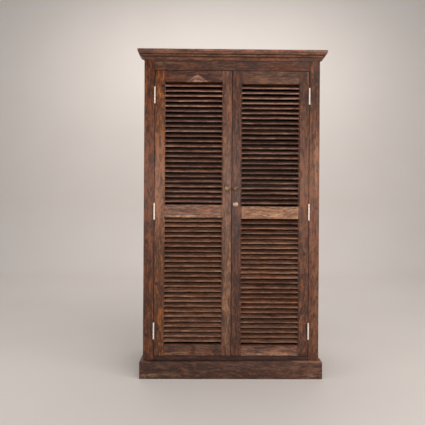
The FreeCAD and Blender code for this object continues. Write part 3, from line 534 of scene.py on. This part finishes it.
def sweep_surface(profile, start, end, side, bead, seed, painted_along=((0, 0, 1),)):
    """A mitred moulding: a closed profile of (out, z, tone, wear) carried along a straight run.

    side 0 is the front piece, whose ends spread by the profile's own reach; side 1 or -1 is a
    return, square at the back and mitred at the front. bead is how far the moulding's edge
    wanders. The profile's tone and wear carry painted light and shade. The last argument paints
    more along the run: (place on the run from 0 to 1, tone added there, share of the profile's
    own tone and wear that shows there).
    """
    out, height, tone, wear = profile.T
    rings = max(3, int((end - start) / LONG_STEP) + 1)
    share = np.linspace(0, 1, rings)[:, None]
    run = (start - out) * (1 - share) + (end + out * (side == 0)) * share
    wander = drift(share * (end - start), seed, bead, length=300) * out / max(out.max(), 1)
    points = np.empty((rings, len(out), 3))
    if side == 0:
        points[..., X], points[..., Y] = run, FRONT - (out + wander)
    else:
        points[..., X], points[..., Y] = side * (POST_OUTER + out + wander), run
    points[..., Z] = height + wander * 0.4
    place, paler, shown = np.array(painted_along, float).T
    paler, shown = (np.interp(share, place, column) for column in (paler, shown))
    faces = tube_faces(rings, len(out), flip=side >= 0)
    return points, faces, {"tone": tone * shown + paler, "wear": wear * shown}


def lathe_surface(profile, centre, axis=Y, steps=40, closed=False):
    """A turned shape: (radius, station) pairs spun round an axis through the centre.

    Open profiles run from pole to pole; closed ones make a ring.
    """
    radius, station = np.asarray(profile, float).T
    u, v = (axis + 1) % 3, (axis + 2) % 3
    angle = np.linspace(0, 2 * np.pi, steps, endpoint=False)
    points = np.empty((len(radius), steps, 3))
    points[..., axis] = station[:, None] + centre[axis]
    points[..., u] = radius[:, None] * np.cos(angle) + centre[u]
    points[..., v] = radius[:, None] * np.sin(angle) + centre[v]
    faces = tube_faces(len(radius), steps, caps=not closed)
    if closed:
        last, first = (len(radius) - 1) * steps + np.arange(steps), np.arange(steps)
        faces += np.stack([last, np.roll(last, -1), np.roll(first, -1), first], axis=-1).tolist()
    return points, faces, {}


def smooth_line(points, steps):
    """A curve through points: Catmull-Rom pieces, each sampled the given number of times."""
    points = np.asarray(points, float)
    padded = np.concatenate([points[:1], points, points[-1:]])
    t = np.linspace(0, 1, steps, endpoint=False)[:, None]
    pieces = []
    for a, b, c, d in zip(padded, padded[1:], padded[2:], padded[3:]):
        pieces.append(0.5 * (2 * b + (c - a) * t + (2 * a - 5 * b + 4 * c - d) * t ** 2
                             + (3 * b - a - 3 * c + d) * t ** 3))
    return np.concatenate(pieces + [points[-1:]])


def join(surfaces):
    """Several surfaces as one, without their vertex values."""
    points = [surface[0].reshape(-1, 3) for surface in surfaces]
    starts = np.cumsum([0, *map(len, points)]).tolist()
    faces = [[index + start for index in face]
             for start, surface in zip(starts, surfaces) for face in surface[1]]
    return np.concatenate(points), faces, {}


# ---- pieces ----

def put(name, data):
    """An object of some data, linked to the scene."""
    made = bpy.data.objects.new(name, data)
    bpy.context.scene.collection.objects.link(made)
    return made


def skin(name, surface, material, body, node=None):
    """Makes a piece of a surface, with its finish, body and the node it stands for."""
    points, faces, values = surface
    mesh = bpy.data.meshes.new(name)
    mesh.from_pydata(np.clip(points.reshape(-1, 3) * MM, *CAD_BOX).tolist(), [], faces)
    for key, value in values.items():
        kind, field = ("FLOAT_VECTOR", "vector") if key == "piece" else ("FLOAT", "value")
        data = mesh.attributes.new(key, kind, "POINT").data
        data.foreach_set(field, np.asarray(value, np.float32).ravel())
    mesh.shade_smooth()
    mesh.set_sharp_from_angle(angle=CREASE)
    mesh.materials.append(material)
    made = put(name, mesh)
    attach(made, body)
    if node:
        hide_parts(node)


def board(node, seed, body, slot, run=Z, ends=None, name=None, steady=1.0, cuts=(), grime=()):
    """Builds one board of the face frame or a door over its node.

    ends are where it starts and stops, if not where the node does. steady is its share of the
    usual wander.
    """
    look = bpy.context.scene.cabinet_timber
    low, high = corners(node)
    if ends:
        low[run], high[run] = ends
    surface = board_surface(low, high, run, look.ease, look.sway * steady, seed, cuts,
                            SHEEN_TONES.get(node, EVEN), WARMTH.get(node, EVEN), look.wear)
    material = wood(node, grain=run, grime=grime)
    skin(name or f"{node}_board", surface, material, body, node)


def moulding(kind, name, profile, bead, seed, front, returns=((0, 0, 1),)):
    """Builds a moulding's front and its two returns; front and returns paint light along each."""
    surface = sweep_surface(profile, -POST_OUTER, POST_OUTER, 0, bead, seed, front)
    skin(f"{name}_front", surface, wood(kind, grain=X), "carcass", f"{kind}_front")
    turned = {**WOODS[kind], "grain": Y, "knots": ()}
    for word, side in SIDES.items():
        back = corners(f"{kind}_{word}")[1][Y]
        surface = sweep_surface(profile, FRONT, back, side, 0.3, seed + 2 + side, returns)
        skin(f"{name}_{word}", surface, finish(f"waxed sheesham, {kind} return", **turned),
             "carcass", f"{kind}_{word}")


def dress_node(name, material, ease=1.0):
    """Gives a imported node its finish, with its triangles welded and its arrises eased."""
    node = frame["nodes"][name]
    node.data.materials.clear()
    node.data.materials.append(material)
    weld = node.modifiers.new("weld", "WELD")
    weld.merge_threshold = 0.02 * MM
    bevel = node.modifiers.new("eased arrises", "BEVEL")
    bevel.width, bevel.segments, bevel.limit_method = ease * MM, 2, "ANGLE"
    bevel.angle_limit = CREASE


# ---- settings ----

class CabinetTimber(bpy.types.PropertyGroup):
    ease: FloatProperty(name="Eased arris", description="Radius of the boards' arrises in mm",
                        default=1.3, min=0.3, max=4.0)
    sway: FloatProperty(name="Hand planing", description="How far the boards wander in mm",
                        default=0.3, min=0.0, max=1.0)
    wear: FloatProperty(name="Edge wear", description="How pale the arrises have worn",
                        default=1.0, min=0.0, max=2.0)


class CabinetLouvres(bpy.types.PropertyGroup):
    upper: IntProperty(name="Upper slats", description="Slats over the mid rail", default=24)
    lower: IntProperty(name="Lower slats", description="Slats under the mid rail", default=25)
    nose: FloatProperty(name="Nose", description="Rounding of the slats' noses in mm",
                        default=2.6, min=0.5, max=3.9)
    uneven: FloatProperty(name="Uneven", description="How far a nose wanders in mm",
                          default=0.7, min=0.0, max=2.0)


class CabinetMetal(bpy.types.PropertyGroup):
    nickel: FloatVectorProperty(name="Nickel", description="Nickel plate", subtype="COLOR_GAMMA",
                                default=srgb("#fbeae0"), min=0, max=1)
    brass: FloatVectorProperty(name="Brass", description="Aged brass", subtype="COLOR_GAMMA",
                               default=srgb("#9c8264"), min=0, max=1)


class CabinetStage(bpy.types.PropertyGroup):
    floor: FloatVectorProperty(name="Floor", description="Colour of the floor and backdrop",
                               subtype="COLOR_GAMMA", default=srgb("#ede7e4"), min=0, max=1)
    front_light: FloatProperty(name="Front light", description="Power of the soft box in front",
                               default=42.0, min=0.0, unit="POWER")
    distance: FloatProperty(name="Camera distance", description="From the doors to the camera",
                            default=2.4, unit="LENGTH", subtype="DISTANCE")


# ---- operators ----

class CABINET_OT_face_frame(bpy.types.Operator):
    """Two posts with a frieze rail and a bottom rail between them"""
    bl_idname = "cabinet.face_frame"
    bl_label = "Face frame"

    def execute(self, context):
        for seed, side in ((4, "left"), (3, "right")):
            board(f"{side}_front_post", seed, "carcass", "frame_wood", name=f"{side}_post",
                  grime=hinge_shadow_spots(side))
        for seed, node in ((21, "frieze_rail"), (25, "bottom_rail")):
            board(node, seed, "carcass", "frame_wood", X, (-POST_INNER - LAP, POST_INNER + LAP))
        return {"FINISHED"}


class CABINET_OT_crown(bpy.types.Operator):
    """Crown moulding: fascia, ovolo, quirk, ridge and cove, mitred at the front corners"""
    bl_idname = "cabinet.crown"
    bl_label = "Crown"

    def execute(self, context):
        low, high = corners("crown_front")
        foot, reach = low[Z] - high[Z], FRONT - low[Y]
        # Third values: painted shade in quirks, grooves and cove, painted highlight on the ridge.
        ovolo = smooth_line([(34.4, -16.2, -0.05, 0), (34.3, -18.6, 0, 0.2),
                             (31.8, -23.6, -0.05, 0.1), (26.4, -27.2, -0.3, 0)], 4)
        ridge = smooth_line([(23.4, -30.0, -0.2, 0), (25.8, -31.8, 0.1, 0.4),
                             (23.6, -35.6, 0.05, 0.2), (18.2, -38.4, -0.1, 0),
                             (13.2, -39.4, -0.4, 0)], 4)
        cove = smooth_line([(11.4, -40.8, -0.45, 0), (9.4, -43.4, -0.1, 0), (6.6, -47.2, 0, 0.1),
                            (5.0, -50, 0, 0.1)], 3)
        # Fourth values: wear on the arrises, and on the ridge part of its painted highlight.
        down = np.concatenate([
            [(0, 0, 0, 0), (0, foot, 0, 0), (3.4, foot, 0, 0), (4.0, foot + 0.6, 0, 0.4),
             (4.0, foot + 5, 0, 0.1)],
            cove[::-1], ridge[::-1], [(22.6, -28.6, -0.5, 0)], ovolo[::-1],
            [(34.4, -15.2, -0.1, 0), (reach - 0.6, -15.0, 0, 0.2), (reach, -14.3, 0, 0.5),
             (reach, -1.2, 0, 0.5), (reach - 1.2, 0, 0, 0.6)]])
        # The front is painted darker at its left end and paler at its right, as by light from the
        # right.
        moulding("crown", "crown_moulding", down + (0, high[Z], 0, 0), 0.4, 31,
                 ((0, -0.07, 1), (0.5, 0, 1), (1, 0.07, 1)))
        return {"FINISHED"}


class CABINET_OT_plinth(bpy.types.Operator):
    """Plinth: a bevelled board in front and one on each side, mitred"""
    bl_idname = "cabinet.plinth"
    bl_label = "Plinth"

    def execute(self, context):
        low, high = corners("plinth_front")
        top, thick = high[Z], FRONT - low[Y]
        # Tone and wear pale the top bevel and ledge: painted light from above.
        profile = np.array([
            (0, top, 0.4, 0.6), (0, 0, 0, 0), (thick - 1.5, 0, 0, 0), (thick - 0.4, 0.5, 0, 0.5),
            (thick, 1.8, 0, 0.3), (thick, top - 5.5, 0, 0.2), (thick - 0.6, top - 3.8, 0.3, 1.2),
            (thick - 3.4, top - 0.8, 0.55, 1.5), (thick - 4.6, top, 0.55, 1.5)])
        # Front: the ledge's painted light at the left end, painted shade between, a glare at the
        # right.
        moulding("plinth", "plinth_board", profile, 0.6, 41,
                 ((0, -0.04, 1.1), (0.06, -0.05, -0.5), (0.5, 0.02, -0.4), (0.8, 0.13, 0.1),
                  (0.88, 0.15, 1.1), (1, 0.17, 2)), ((0, 0, 0.2),))
        return {"FINISHED"}


class CABINET_OT_doors(bpy.types.Operator):
    """Stiles with stopped chamfers along the louvres, and three rails a door"""
    bl_idname = "cabinet.doors"
    bl_label = "Doors"

    def execute(self, context):
        for side, sign in SIDES.items():
            make = partial(board, body=f"{side}_door", slot="door_wood", steady=0.6)
            rails = [corners(f"{side}_{kind}_rail") for kind in ("bottom", "mid", "top")]
            banks = [(under[1][Z], over[0][Z]) for under, over in zip(rails, rails[1:])]
            inner = []
            for seed, kind, inward, grime in ((51, "hinge", -sign, hinge_shadow_spots(side)),
                                              (53, "meeting", sign, ())):
                node, corner = f"{side}_{kind}_stile", int(inward > 0)
                inner.append(corners(node)[corner][X])
                make(node, seed + sign, grime=grime,
                     cuts=[(corner, CHAMFER, start, end) for start, end in banks])
            for seed, kind in ((61, "top"), (63, "mid"), (65, "bottom")):
                make(f"{side}_{kind}_rail", seed + sign, run=X,
                     ends=(min(inner) - LAP, max(inner) + LAP))
        return {"FINISHED"}


class CABINET_OT_louvres(bpy.types.Operator):
    """Fixed slats, each a little different, their ends let into the stiles"""
    bl_idname = "cabinet.louvres"
    bl_label = "Louvres"

    def execute(self, context):
        look = context.scene.cabinet_louvres
        for seed, side, bank in ((71, "left", "upper"), (72, "left", "lower"),
                                 (73, "right", "upper"), (74, "right", "lower")):
            node = f"{side}_{bank}_louvres"
            surface = slat_surfaces(node, getattr(look, bank), look.nose, look.uneven, seed)
            skin(f"{side}_{bank}_slats", surface, wood(node), f"{side}_door", node)
        return {"FINISHED"}


# Painted shade on the slats' noses, where the front light's sheen falls on them:
DULLER = (900, 1060, 1520, 1760), (0.04, 0.2, 0.2, 0.02)  # heights, and how much duller there


def slat_surfaces(node, count, nose, uneven, seed):
    """A bank of slats: one section, turned to the tilt, carried across the door for each.

    The section is (along, up) in the slat's own plane, with a rounded nose. Each slat has its own
    lift, tilt and thickness, and its nose wanders along the door. Noses are paler, worn and with a
    painted highlight, and the backs darker with painted shade under the slat above, more so in the
    upper banks.
    """
    low, high = corners(node)
    first = low[Z] - SLAT_ARRIS * math.sin(SLAT_TILT)
    last = high[Z] - (SLAT_WIDTH * math.sin(SLAT_TILT) + SLAT_THICKNESS * math.cos(SLAT_TILT))
    front = low[Y] + (SLAT_THICKNESS - SLAT_ARRIS) * math.sin(SLAT_TILT)
    angle = np.linspace(0, np.pi / 2, ARC + 1)
    lower = np.stack([nose - nose * np.sin(angle), nose - nose * np.cos(angle)], axis=-1)
    upper = lower[::-1] * (1, -1) + (0, SLAT_THICKNESS)
    support, back = nose + 2.0, SLAT_WIDTH - 0.4
    section = np.concatenate([
        [(back, 0), (support, 0)], lower, upper,
        [(support, SLAT_THICKNESS), (SLAT_WIDTH * 0.55, SLAT_THICKNESS), (back, SLAT_THICKNESS)]])
    # a painted highlight on the nose, and painted shade at the back, stronger in the upper banks
    bright, deep = (0.26, -1.0) if "upper" in node else (0.2, -0.4)

    def spread(under, edge, over):
        """One value a section point: under the slat, round its nose, and over it."""
        return np.r_[under, np.full(2 * (ARC + 1), edge), over]

    across = np.r_[low[X], np.linspace(low[X] + HOUSING, high[X] - HOUSING, 8), high[X]]
    rings, around = len(across), len(section)
    random = np.random.default_rng(seed)
    points = np.empty((count, rings, around, 3))
    tone, warm, wear = (np.empty((count, rings, around)) for _ in range(3))
    faces = []
    for slat in range(count):
        tilt = SLAT_TILT + random.normal(0, TILT_SPREAD)
        wave = drift(across, seed * 50 + slat, uneven, length=260)[:, None]
        thick = 0.97 + drift(across, seed * 60 + slat, 0.07, length=200)[:, None]
        along = section[:, 0] + drift(across, seed * 70 + slat, 0.5, length=240)[:, None]
        up = (section[:, 1] - SLAT_THICKNESS / 2) * thick + SLAT_THICKNESS / 2
        base = first + (last - first) * slat / (count - 1) + random.normal(0, LIFT_SPREAD)
        points[slat, ..., X] = across[:, None]
        points[slat, ..., Y] = front + along * math.cos(tilt) - up * math.sin(tilt)
        points[slat, ..., Z] = base + along * math.sin(tilt) + up * math.cos(tilt) + wave
        # painted shade on the noses where the front light's sheen falls
        dull = np.interp(base, *DULLER)
        # tone: a painted highlight on the nose, painted shade over the back of the upper face
        tone[slat] = random.normal(0, 0.09) + spread(
            [-0.35, 0.05], bright - dull, [0.07, deep * 0.35, deep])
        # the nose less red with its painted highlight, the upper face redder
        warm[slat] = random.uniform(-0.6, 0.3) + spread([0, 0], -0.1, [0.35, 0.45, 0.5])
        # the nose paler: worn, and a painted highlight, dimmed where dull
        wear[slat] = spread([0, 0.3], 1 - 3.5 * dull, [0.3, 0, 0])
        faces += tube_faces(rings, around, slat * rings * around, flip=True)
    shift = np.repeat(random.uniform(0, 9, (count, 3)), rings * around, axis=0)
    return points, faces, {"tone": tone, "warm": warm, "wear": wear, "piece": shift}


class CABINET_OT_hinges(bpy.types.Operator):
    """Butt hinges: leaves with countersunk screws, five knuckles and a pin"""
    bl_idname = "cabinet.hinges"
    bl_label = "Hinges"

    def execute(self, context):
        for side in SIDES:
            for leaf, body in (("frame", "carcass"), ("door", f"{side}_door")):
                parts = [part for height in hinge_heights(side)
                         for part in hinge_leaf(SIDES[side], height, leaf == "frame")]
                skin(f"{side}_{leaf}_leaves", join(parts), metal("nickel plate, polished"), body,
                     f"{side}_{leaf}_hinge_leaves")
        return {"FINISHED"}


def hinge_heights(side):
    """The middles of a door's three hinges."""
    low, high = corners(f"{side}_frame_hinge_leaves")
    bottom, top = low[Z] + HINGE_LENGTH / 2, high[Z] - HINGE_LENGTH / 2
    return bottom, (bottom + top) / 2 + MIDDLE_HINGE_LIFT, top


def hinge_shadow_spots(side):
    """Where a shadow of each hinge is painted on the boards: (x, z), a little left of each barrel.
    """
    return [(SIDES[side] * PIN_X - 2.0, height) for height in hinge_heights(side)]


def hinge_leaf(sign, height, on_frame):
    """One leaf's plate, screws, tabs and knuckles; the frame's has the pin too.

    The frame's leaf is let into the post and has knuckles 0, 2 and 4; the door's is let into the
    stile and has 1 and 3.
    """
    inner, outer = (POST_INNER, POST_INNER + LEAF) if on_frame else (DOOR_EDGE - LEAF, DOOR_EDGE)
    face, root, facing = (inner, outer, -sign) if on_frame else (outer, inner, sign)
    left, right = sorted((sign * inner, sign * outer))
    half = HINGE_LENGTH / 2
    parts = [board_surface([left, FRONT, height - half], [right, FRONT + LEAF_DEPTH, height + half],
                           Z, 0.3, 0, 1, step=LONG_STEP)]
    parts += [screw_surface((sign * face, FRONT + depth, height + rise), X, facing, 3.6,
                            0.3 + row * 0.7) for row, (depth, rise) in enumerate(LEAF_SCREWS)]
    pitch, gap = HINGE_LENGTH / KNUCKLES, 0.2
    left, right = sorted((sign * PIN_X, sign * root))
    inside, radius, tall = PIN_RADIUS - 0.4, KNUCKLE_RADIUS, pitch - 2 * gap
    barrel = [(inside, 0.35), (radius - 0.7, 0.0), (radius - 0.15, 0.25), (radius, 0.8)]
    barrel += [(out, tall - rise) for out, rise in barrel[::-1]]
    for number in range(0 if on_frame else 1, KNUCKLES, 2):
        start = height - half + number * pitch + gap
        parts.append(board_surface([left, PIN_Y, start], [right, FRONT + 1, start + tall], Z, 0.2,
                                   0, 2, step=LONG_STEP))
        parts.append(lathe_surface(barrel, (sign * PIN_X, PIN_Y, start), Z, 20, not on_frame))
    if on_frame:
        end = [(0.01, half + 0.3), (PIN_RADIUS * 0.8, half), (PIN_RADIUS - 0.35, half - 1)]
        pin = [(out, -rise) for out, rise in end] + end[::-1]
        parts.append(lathe_surface(pin, (sign * PIN_X, PIN_Y, height), Z, 16))
    return parts


def screw_surface(centre, axis, facing, radius, turn):
    """A slotted countersunk head: a square grid pressed to a disc, domed, its slot sunk in."""
    line = np.array([-1, -0.7, -0.17, -0.13, 0.13, 0.17, 0.7, 1.0])
    a, b = np.meshgrid(line, np.linspace(-1, 1, 6), indexing="ij")
    disc_a, disc_b = a * np.sqrt(1 - b ** 2 / 2), b * np.sqrt(1 - a ** 2 / 2)
    slot = np.where((np.abs(a) < 0.15) & (np.abs(b) < 0.99), SCREW_SLOT, 0.0)
    rise = SCREW_DOME * (1 - disc_a ** 2 - disc_b ** 2) - slot
    u, v = (axis + 1) % 3, (axis + 2) % 3
    points = np.empty(a.shape + (3,))
    points[..., axis] = centre[axis] + facing * (rise + 0.05)
    points[..., u] = centre[u] + radius * (disc_a * math.cos(turn) - disc_b * math.sin(turn))
    points[..., v] = centre[v] + radius * (disc_a * math.sin(turn) + disc_b * math.cos(turn))
    grid = np.arange(a.size).reshape(a.shape)
    quads = np.stack([grid[:-1, :-1], grid[1:, :-1], grid[1:, 1:], grid[:-1, 1:]], axis=-1)
    rim = np.concatenate([grid[0], grid[1:, -1], grid[-1, -2::-1], grid[-2:0:-1, 0]])
    faces = quads.reshape(-1, 4).tolist() + [rim.tolist()]
    return points, [face[::-1] for face in faces] if facing < 0 else faces, {}


class CABINET_OT_knobs(bpy.types.Operator):
    """Turned brass knobs with a dished face"""
    bl_idname = "cabinet.knobs"
    bl_label = "Knobs"

    def execute(self, context):
        for side, material in (("left", "brass, aged"), ("right", "brass, browned")):
            low, high = corners(f"{side}_knob")
            centre, radius, tip = (low + high) / 2, (high[X] - low[X]) / 2, low[Y]
            line = smooth_line([
                (0.01, 1.9), (6.5, 1.7), (11.6, 1.2), (12.9, 0.1), (15.2, 0.3), (radius, 3.2),
                (radius, 8.0), (15.0, 11.2), (10.5, 13.0), (7.2, 16.5), (6.3, 22),
                (7.5, FRONT - 3.0 - tip)], 4) + (0, tip)
            base = [(10.6, FRONT - 2.6), (11.0, FRONT - 2.0), (11.0, FRONT), (0.01, FRONT)]
            surface = lathe_surface(np.concatenate([line, base]), (centre[X], 0, centre[Z]))
            skin(f"{side}_pull", surface, metal(material), f"{side}_door",
                 f"{side}_knob")
        return {"FINISHED"}


class CABINET_OT_lock(bpy.types.Operator):
    """Cam lock: a nickel face ring on the right door; its plug, cam and nut keep their shape"""
    bl_idname = "cabinet.lock"
    bl_label = "Lock"

    def execute(self, context):
        low, high = corners("lock_barrel")
        centre, face, end = (low + high) / 2, low[Y], high[Y]
        line = [(6.6, face + 0.5), (7.0, face), (9.0, face + 0.2), (11.5, face + 0.7),
                (13.8, face + 1.6), (15.3, face + 2.7), (15.9, face + 3.5), (16.0, FRONT),
                (9.5, FRONT), (9.5, end - 0.5), (9.0, end), (6.6, end)]
        worn = metal("nickel plate, worn to brass")
        skin("lock_face", lathe_surface(line, (centre[X], 0, centre[Z]), closed=True), worn,
             "right_door", "lock_barrel")
        dress_node("lock_plug", worn, 0.3)
        for node in ("lock_nut", "lock_cam", "lock_strike"):
            dress_node(node, metal("nickel plate, dull"), 0.3)
        return {"FINISHED"}


class CABINET_OT_bolts(bpy.types.Operator):
    """Slide bolts, their plates and keepers, with screws"""
    bl_idname = "cabinet.bolts"
    bl_label = "Slide bolts"

    def execute(self, context):
        dull = metal("nickel plate, dull")
        for node in ("top_bolt", "bottom_bolt", "bolt_plates", "bolt_keepers"):
            dress_node(node, dull, 0.4)
        low, high = corners("bolt_plates")
        middle = (low[X] + high[X]) / 2
        parts = [screw_surface((middle + across, DOOR_BACK + BOLT_PLATE, end + way * away), Y, 1,
                               2.4, 0.5 + across * away)
                 for end, way in ((high[Z], -1), (low[Z], 1))
                 for across in (-11.5, 11.5) for away in (26, 84)]
        skin("bolt_screws", join(parts), dull, "left_door")
        low, high = corners("lock_strike")
        parts = [screw_surface(((low[X] + high[X]) / 2, high[Y], z), Y, 1, 3.2, z)
                 for z in (low[Z] + 8, high[Z] - 8)]
        skin("strike_screws", join(parts), dull, "left_door")
        return {"FINISHED"}


class CABINET_OT_inside(bpy.types.Operator):
    """Sides, back, shelves and stops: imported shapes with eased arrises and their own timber"""
    bl_idname = "cabinet.inside"
    bl_label = "Sides, back and inside"

    def execute(self, context):
        for name, values, nodes in INSIDE:
            for node in nodes:
                dress_node(node, finish(name, **values))
        return {"FINISHED"}


class CABINET_OT_stage(bpy.types.Operator):
    """A pale floor that sweeps up to a backdrop, soft light from the front, and the camera"""
    bl_idname = "cabinet.stage"
    bl_label = "Stage"

    def execute(self, context):
        look = context.scene.cabinet_stage
        floor_and_backdrop(look.floor)
        for name, place, aim, size, share in LIGHTS:
            soft_light(name, place, aim, size, look.front_light * share)
        sky(look.floor)
        camera(look.distance)
        return {"FINISHED"}


# ---- stage, in metres ----

LIGHTS = (
    # name, place, aim, size, share of the power
    ("front strip", (0.3, -3.6, 1.42), (0.3, 0.0, 1.42), (5.0, 0.7), 1.1),
    ("right side", (3.2, -2.0, 1.4), (0.0, 0.0, 1.1), (1.5, 3.0), 1.2),
    ("left side", (-3.2, -2.0, 1.4), (0.0, 0.0, 1.1), (1.5, 3.0), 0.7),
    ("high fill", (1.2, -2.4, 3.8), (0.0, 0.0, 0.8), (2.0, 2.0), 0.5),
    ("backdrop light", (0.0, 2.3, 4.4), (0.0, 4.6, 1.2), (5.0, 1.0), 1.5),
)
LAMP_COLOUR, SKY_COLOUR = (1.0, 0.96, 0.91), (1.0, 0.98, 0.96, 1)
SKY_LEVEL, SKY_MIRRORED = 0.34, 0.12  # strength of the even light, and in reflections
WALL, COVE, WALL_TOP, HALF_ROOM = 4.6, 1.2, 9.0, 24.0
CAMERA_X, CAMERA_Z, LENS, ROLL = -0.141, 1.0158, 33.19, 0.006
AHEAD = (0.010, 1.0, -0.001)


def floor_and_backdrop(colour):
    """A sheet: flat floor, a quarter-round cove and an upright, each row the same across.

    It is matt painted plaster, with faint clouds a metre across.
    """
    turn = np.linspace(0, np.pi / 2, 12)
    y = np.r_[-HALF_ROOM, WALL - COVE + COVE * np.sin(turn), WALL]
    z = np.r_[0.0, COVE * (1 - np.cos(turn)), WALL_TOP]
    x = np.array([-HALF_ROOM, HALF_ROOM])
    points = np.stack([np.tile(x, len(y)), np.repeat(y, 2), np.repeat(z, 2)], axis=-1)
    row = np.arange(len(y) - 1)[:, None] * 2
    mesh = bpy.data.meshes.new("backdrop")
    mesh.from_pydata(points.tolist(), [], (row + [0, 1, 3, 2]).tolist())
    mesh.shade_smooth()
    material, node = new_material("backdrop plaster")
    cloud = node("TexNoise", node("TexCoord").outputs["Object"], Scale=1.1, Detail=4.0)
    faint = node("Math MULTIPLY", cloud, 0.35)
    tint = node("Mix", faint, linear(colour), (0.8, 0.78, 0.76, 1), **TINT)
    node("OutputMaterial", node("BsdfPrincipled", tint, Roughness=0.9))
    mesh.materials.append(material)
    put("backdrop", mesh)


def soft_light(name, place, aim, size, power):
    """An oblong area light looking at a point."""
    lamp = bpy.data.lights.new(name, "AREA")
    lamp.shape, lamp.energy, lamp.color = "RECTANGLE", power, LAMP_COLOUR
    lamp.size, lamp.size_y = size
    made = put(name, lamp)
    made.location = place
    made.rotation_euler = (Vector(aim) - Vector(place)).to_track_quat("-Z", "Y").to_euler()


def sky(colour):
    """Even light from all round, dim in reflections; the camera sees the backdrop's colour."""
    world = bpy.data.worlds.new("studio")
    bpy.context.scene.world = world
    world.use_nodes = True
    world.node_tree.nodes.clear()
    node = partial(add, world.node_tree)
    rays = node("LightPath").outputs
    level = node("Math MULTIPLY_ADD", rays["Is Glossy Ray"], SKY_MIRRORED - SKY_LEVEL, SKY_LEVEL)
    even = node("Background", SKY_COLOUR, level)
    pale = node("Background", linear(colour), 1.0)
    node("OutputWorld", node("MixShader", rays["Is Camera Ray"], even, pale))


def camera(distance):
    """Level with the middle of the doors, a little left of them, turned slightly to the right."""
    data = bpy.data.cameras.new("camera")
    data.sensor_width, data.lens = 36.0, LENS
    made = put("camera", data)
    ahead = Vector(AHEAD).normalized()
    right = ahead.cross(Vector((0, 0, 1))).normalized()
    level = Matrix((right, right.cross(ahead), -ahead)).transposed()
    place = Matrix.Translation((CAMERA_X, FRONT * MM - distance, CAMERA_Z))
    made.matrix_world = place @ (level @ Matrix.Rotation(ROLL, 3, "Z")).to_4x4()
    bpy.context.scene.camera = made


# ---- panel and registration ----

class CABINET_PT_panel(bpy.types.Panel):
    """Lists the cabinet's builders"""
    bl_idname = "CABINET_PT_panel"
    bl_label = "Louvred cabinet"
    bl_space_type = "VIEW_3D"
    bl_region_type = "UI"
    bl_category = "Cabinet"

    def draw(self, context):
        for key in GROUPS:
            group = getattr(context.scene, key)
            for name in group.__annotations__:
                self.layout.prop(group, name)
        for operator in OPERATORS:
            self.layout.operator(operator.bl_idname)


OPERATORS = (
    CABINET_OT_face_frame, CABINET_OT_crown, CABINET_OT_plinth, CABINET_OT_doors,
    CABINET_OT_louvres, CABINET_OT_hinges, CABINET_OT_knobs, CABINET_OT_lock, CABINET_OT_bolts,
    CABINET_OT_inside, CABINET_OT_stage,
)
GROUPS = {"cabinet_timber": CabinetTimber, "cabinet_louvres": CabinetLouvres,
          "cabinet_metal": CabinetMetal, "cabinet_stage": CabinetStage}


def register():
    for kind in (*GROUPS.values(), *OPERATORS, CABINET_PT_panel):
        bpy.utils.register_class(kind)
    for name, kind in GROUPS.items():
        setattr(bpy.types.Scene, name, PointerProperty(type=kind))


def unregister():
    for name in GROUPS:
        delattr(bpy.types.Scene, name)
    for kind in (CABINET_PT_panel, *reversed(OPERATORS), *GROUPS.values()):
        bpy.utils.unregister_class(kind)


def main():
    """Runs every builder in turn."""
    register()
    bpy.context.scene.view_settings.view_transform = "Standard"
    for operator in OPERATORS:
        group, name = operator.bl_idname.split(".")
        getattr(getattr(bpy.ops, group), name)()


if __name__ == "__main__":
    main()
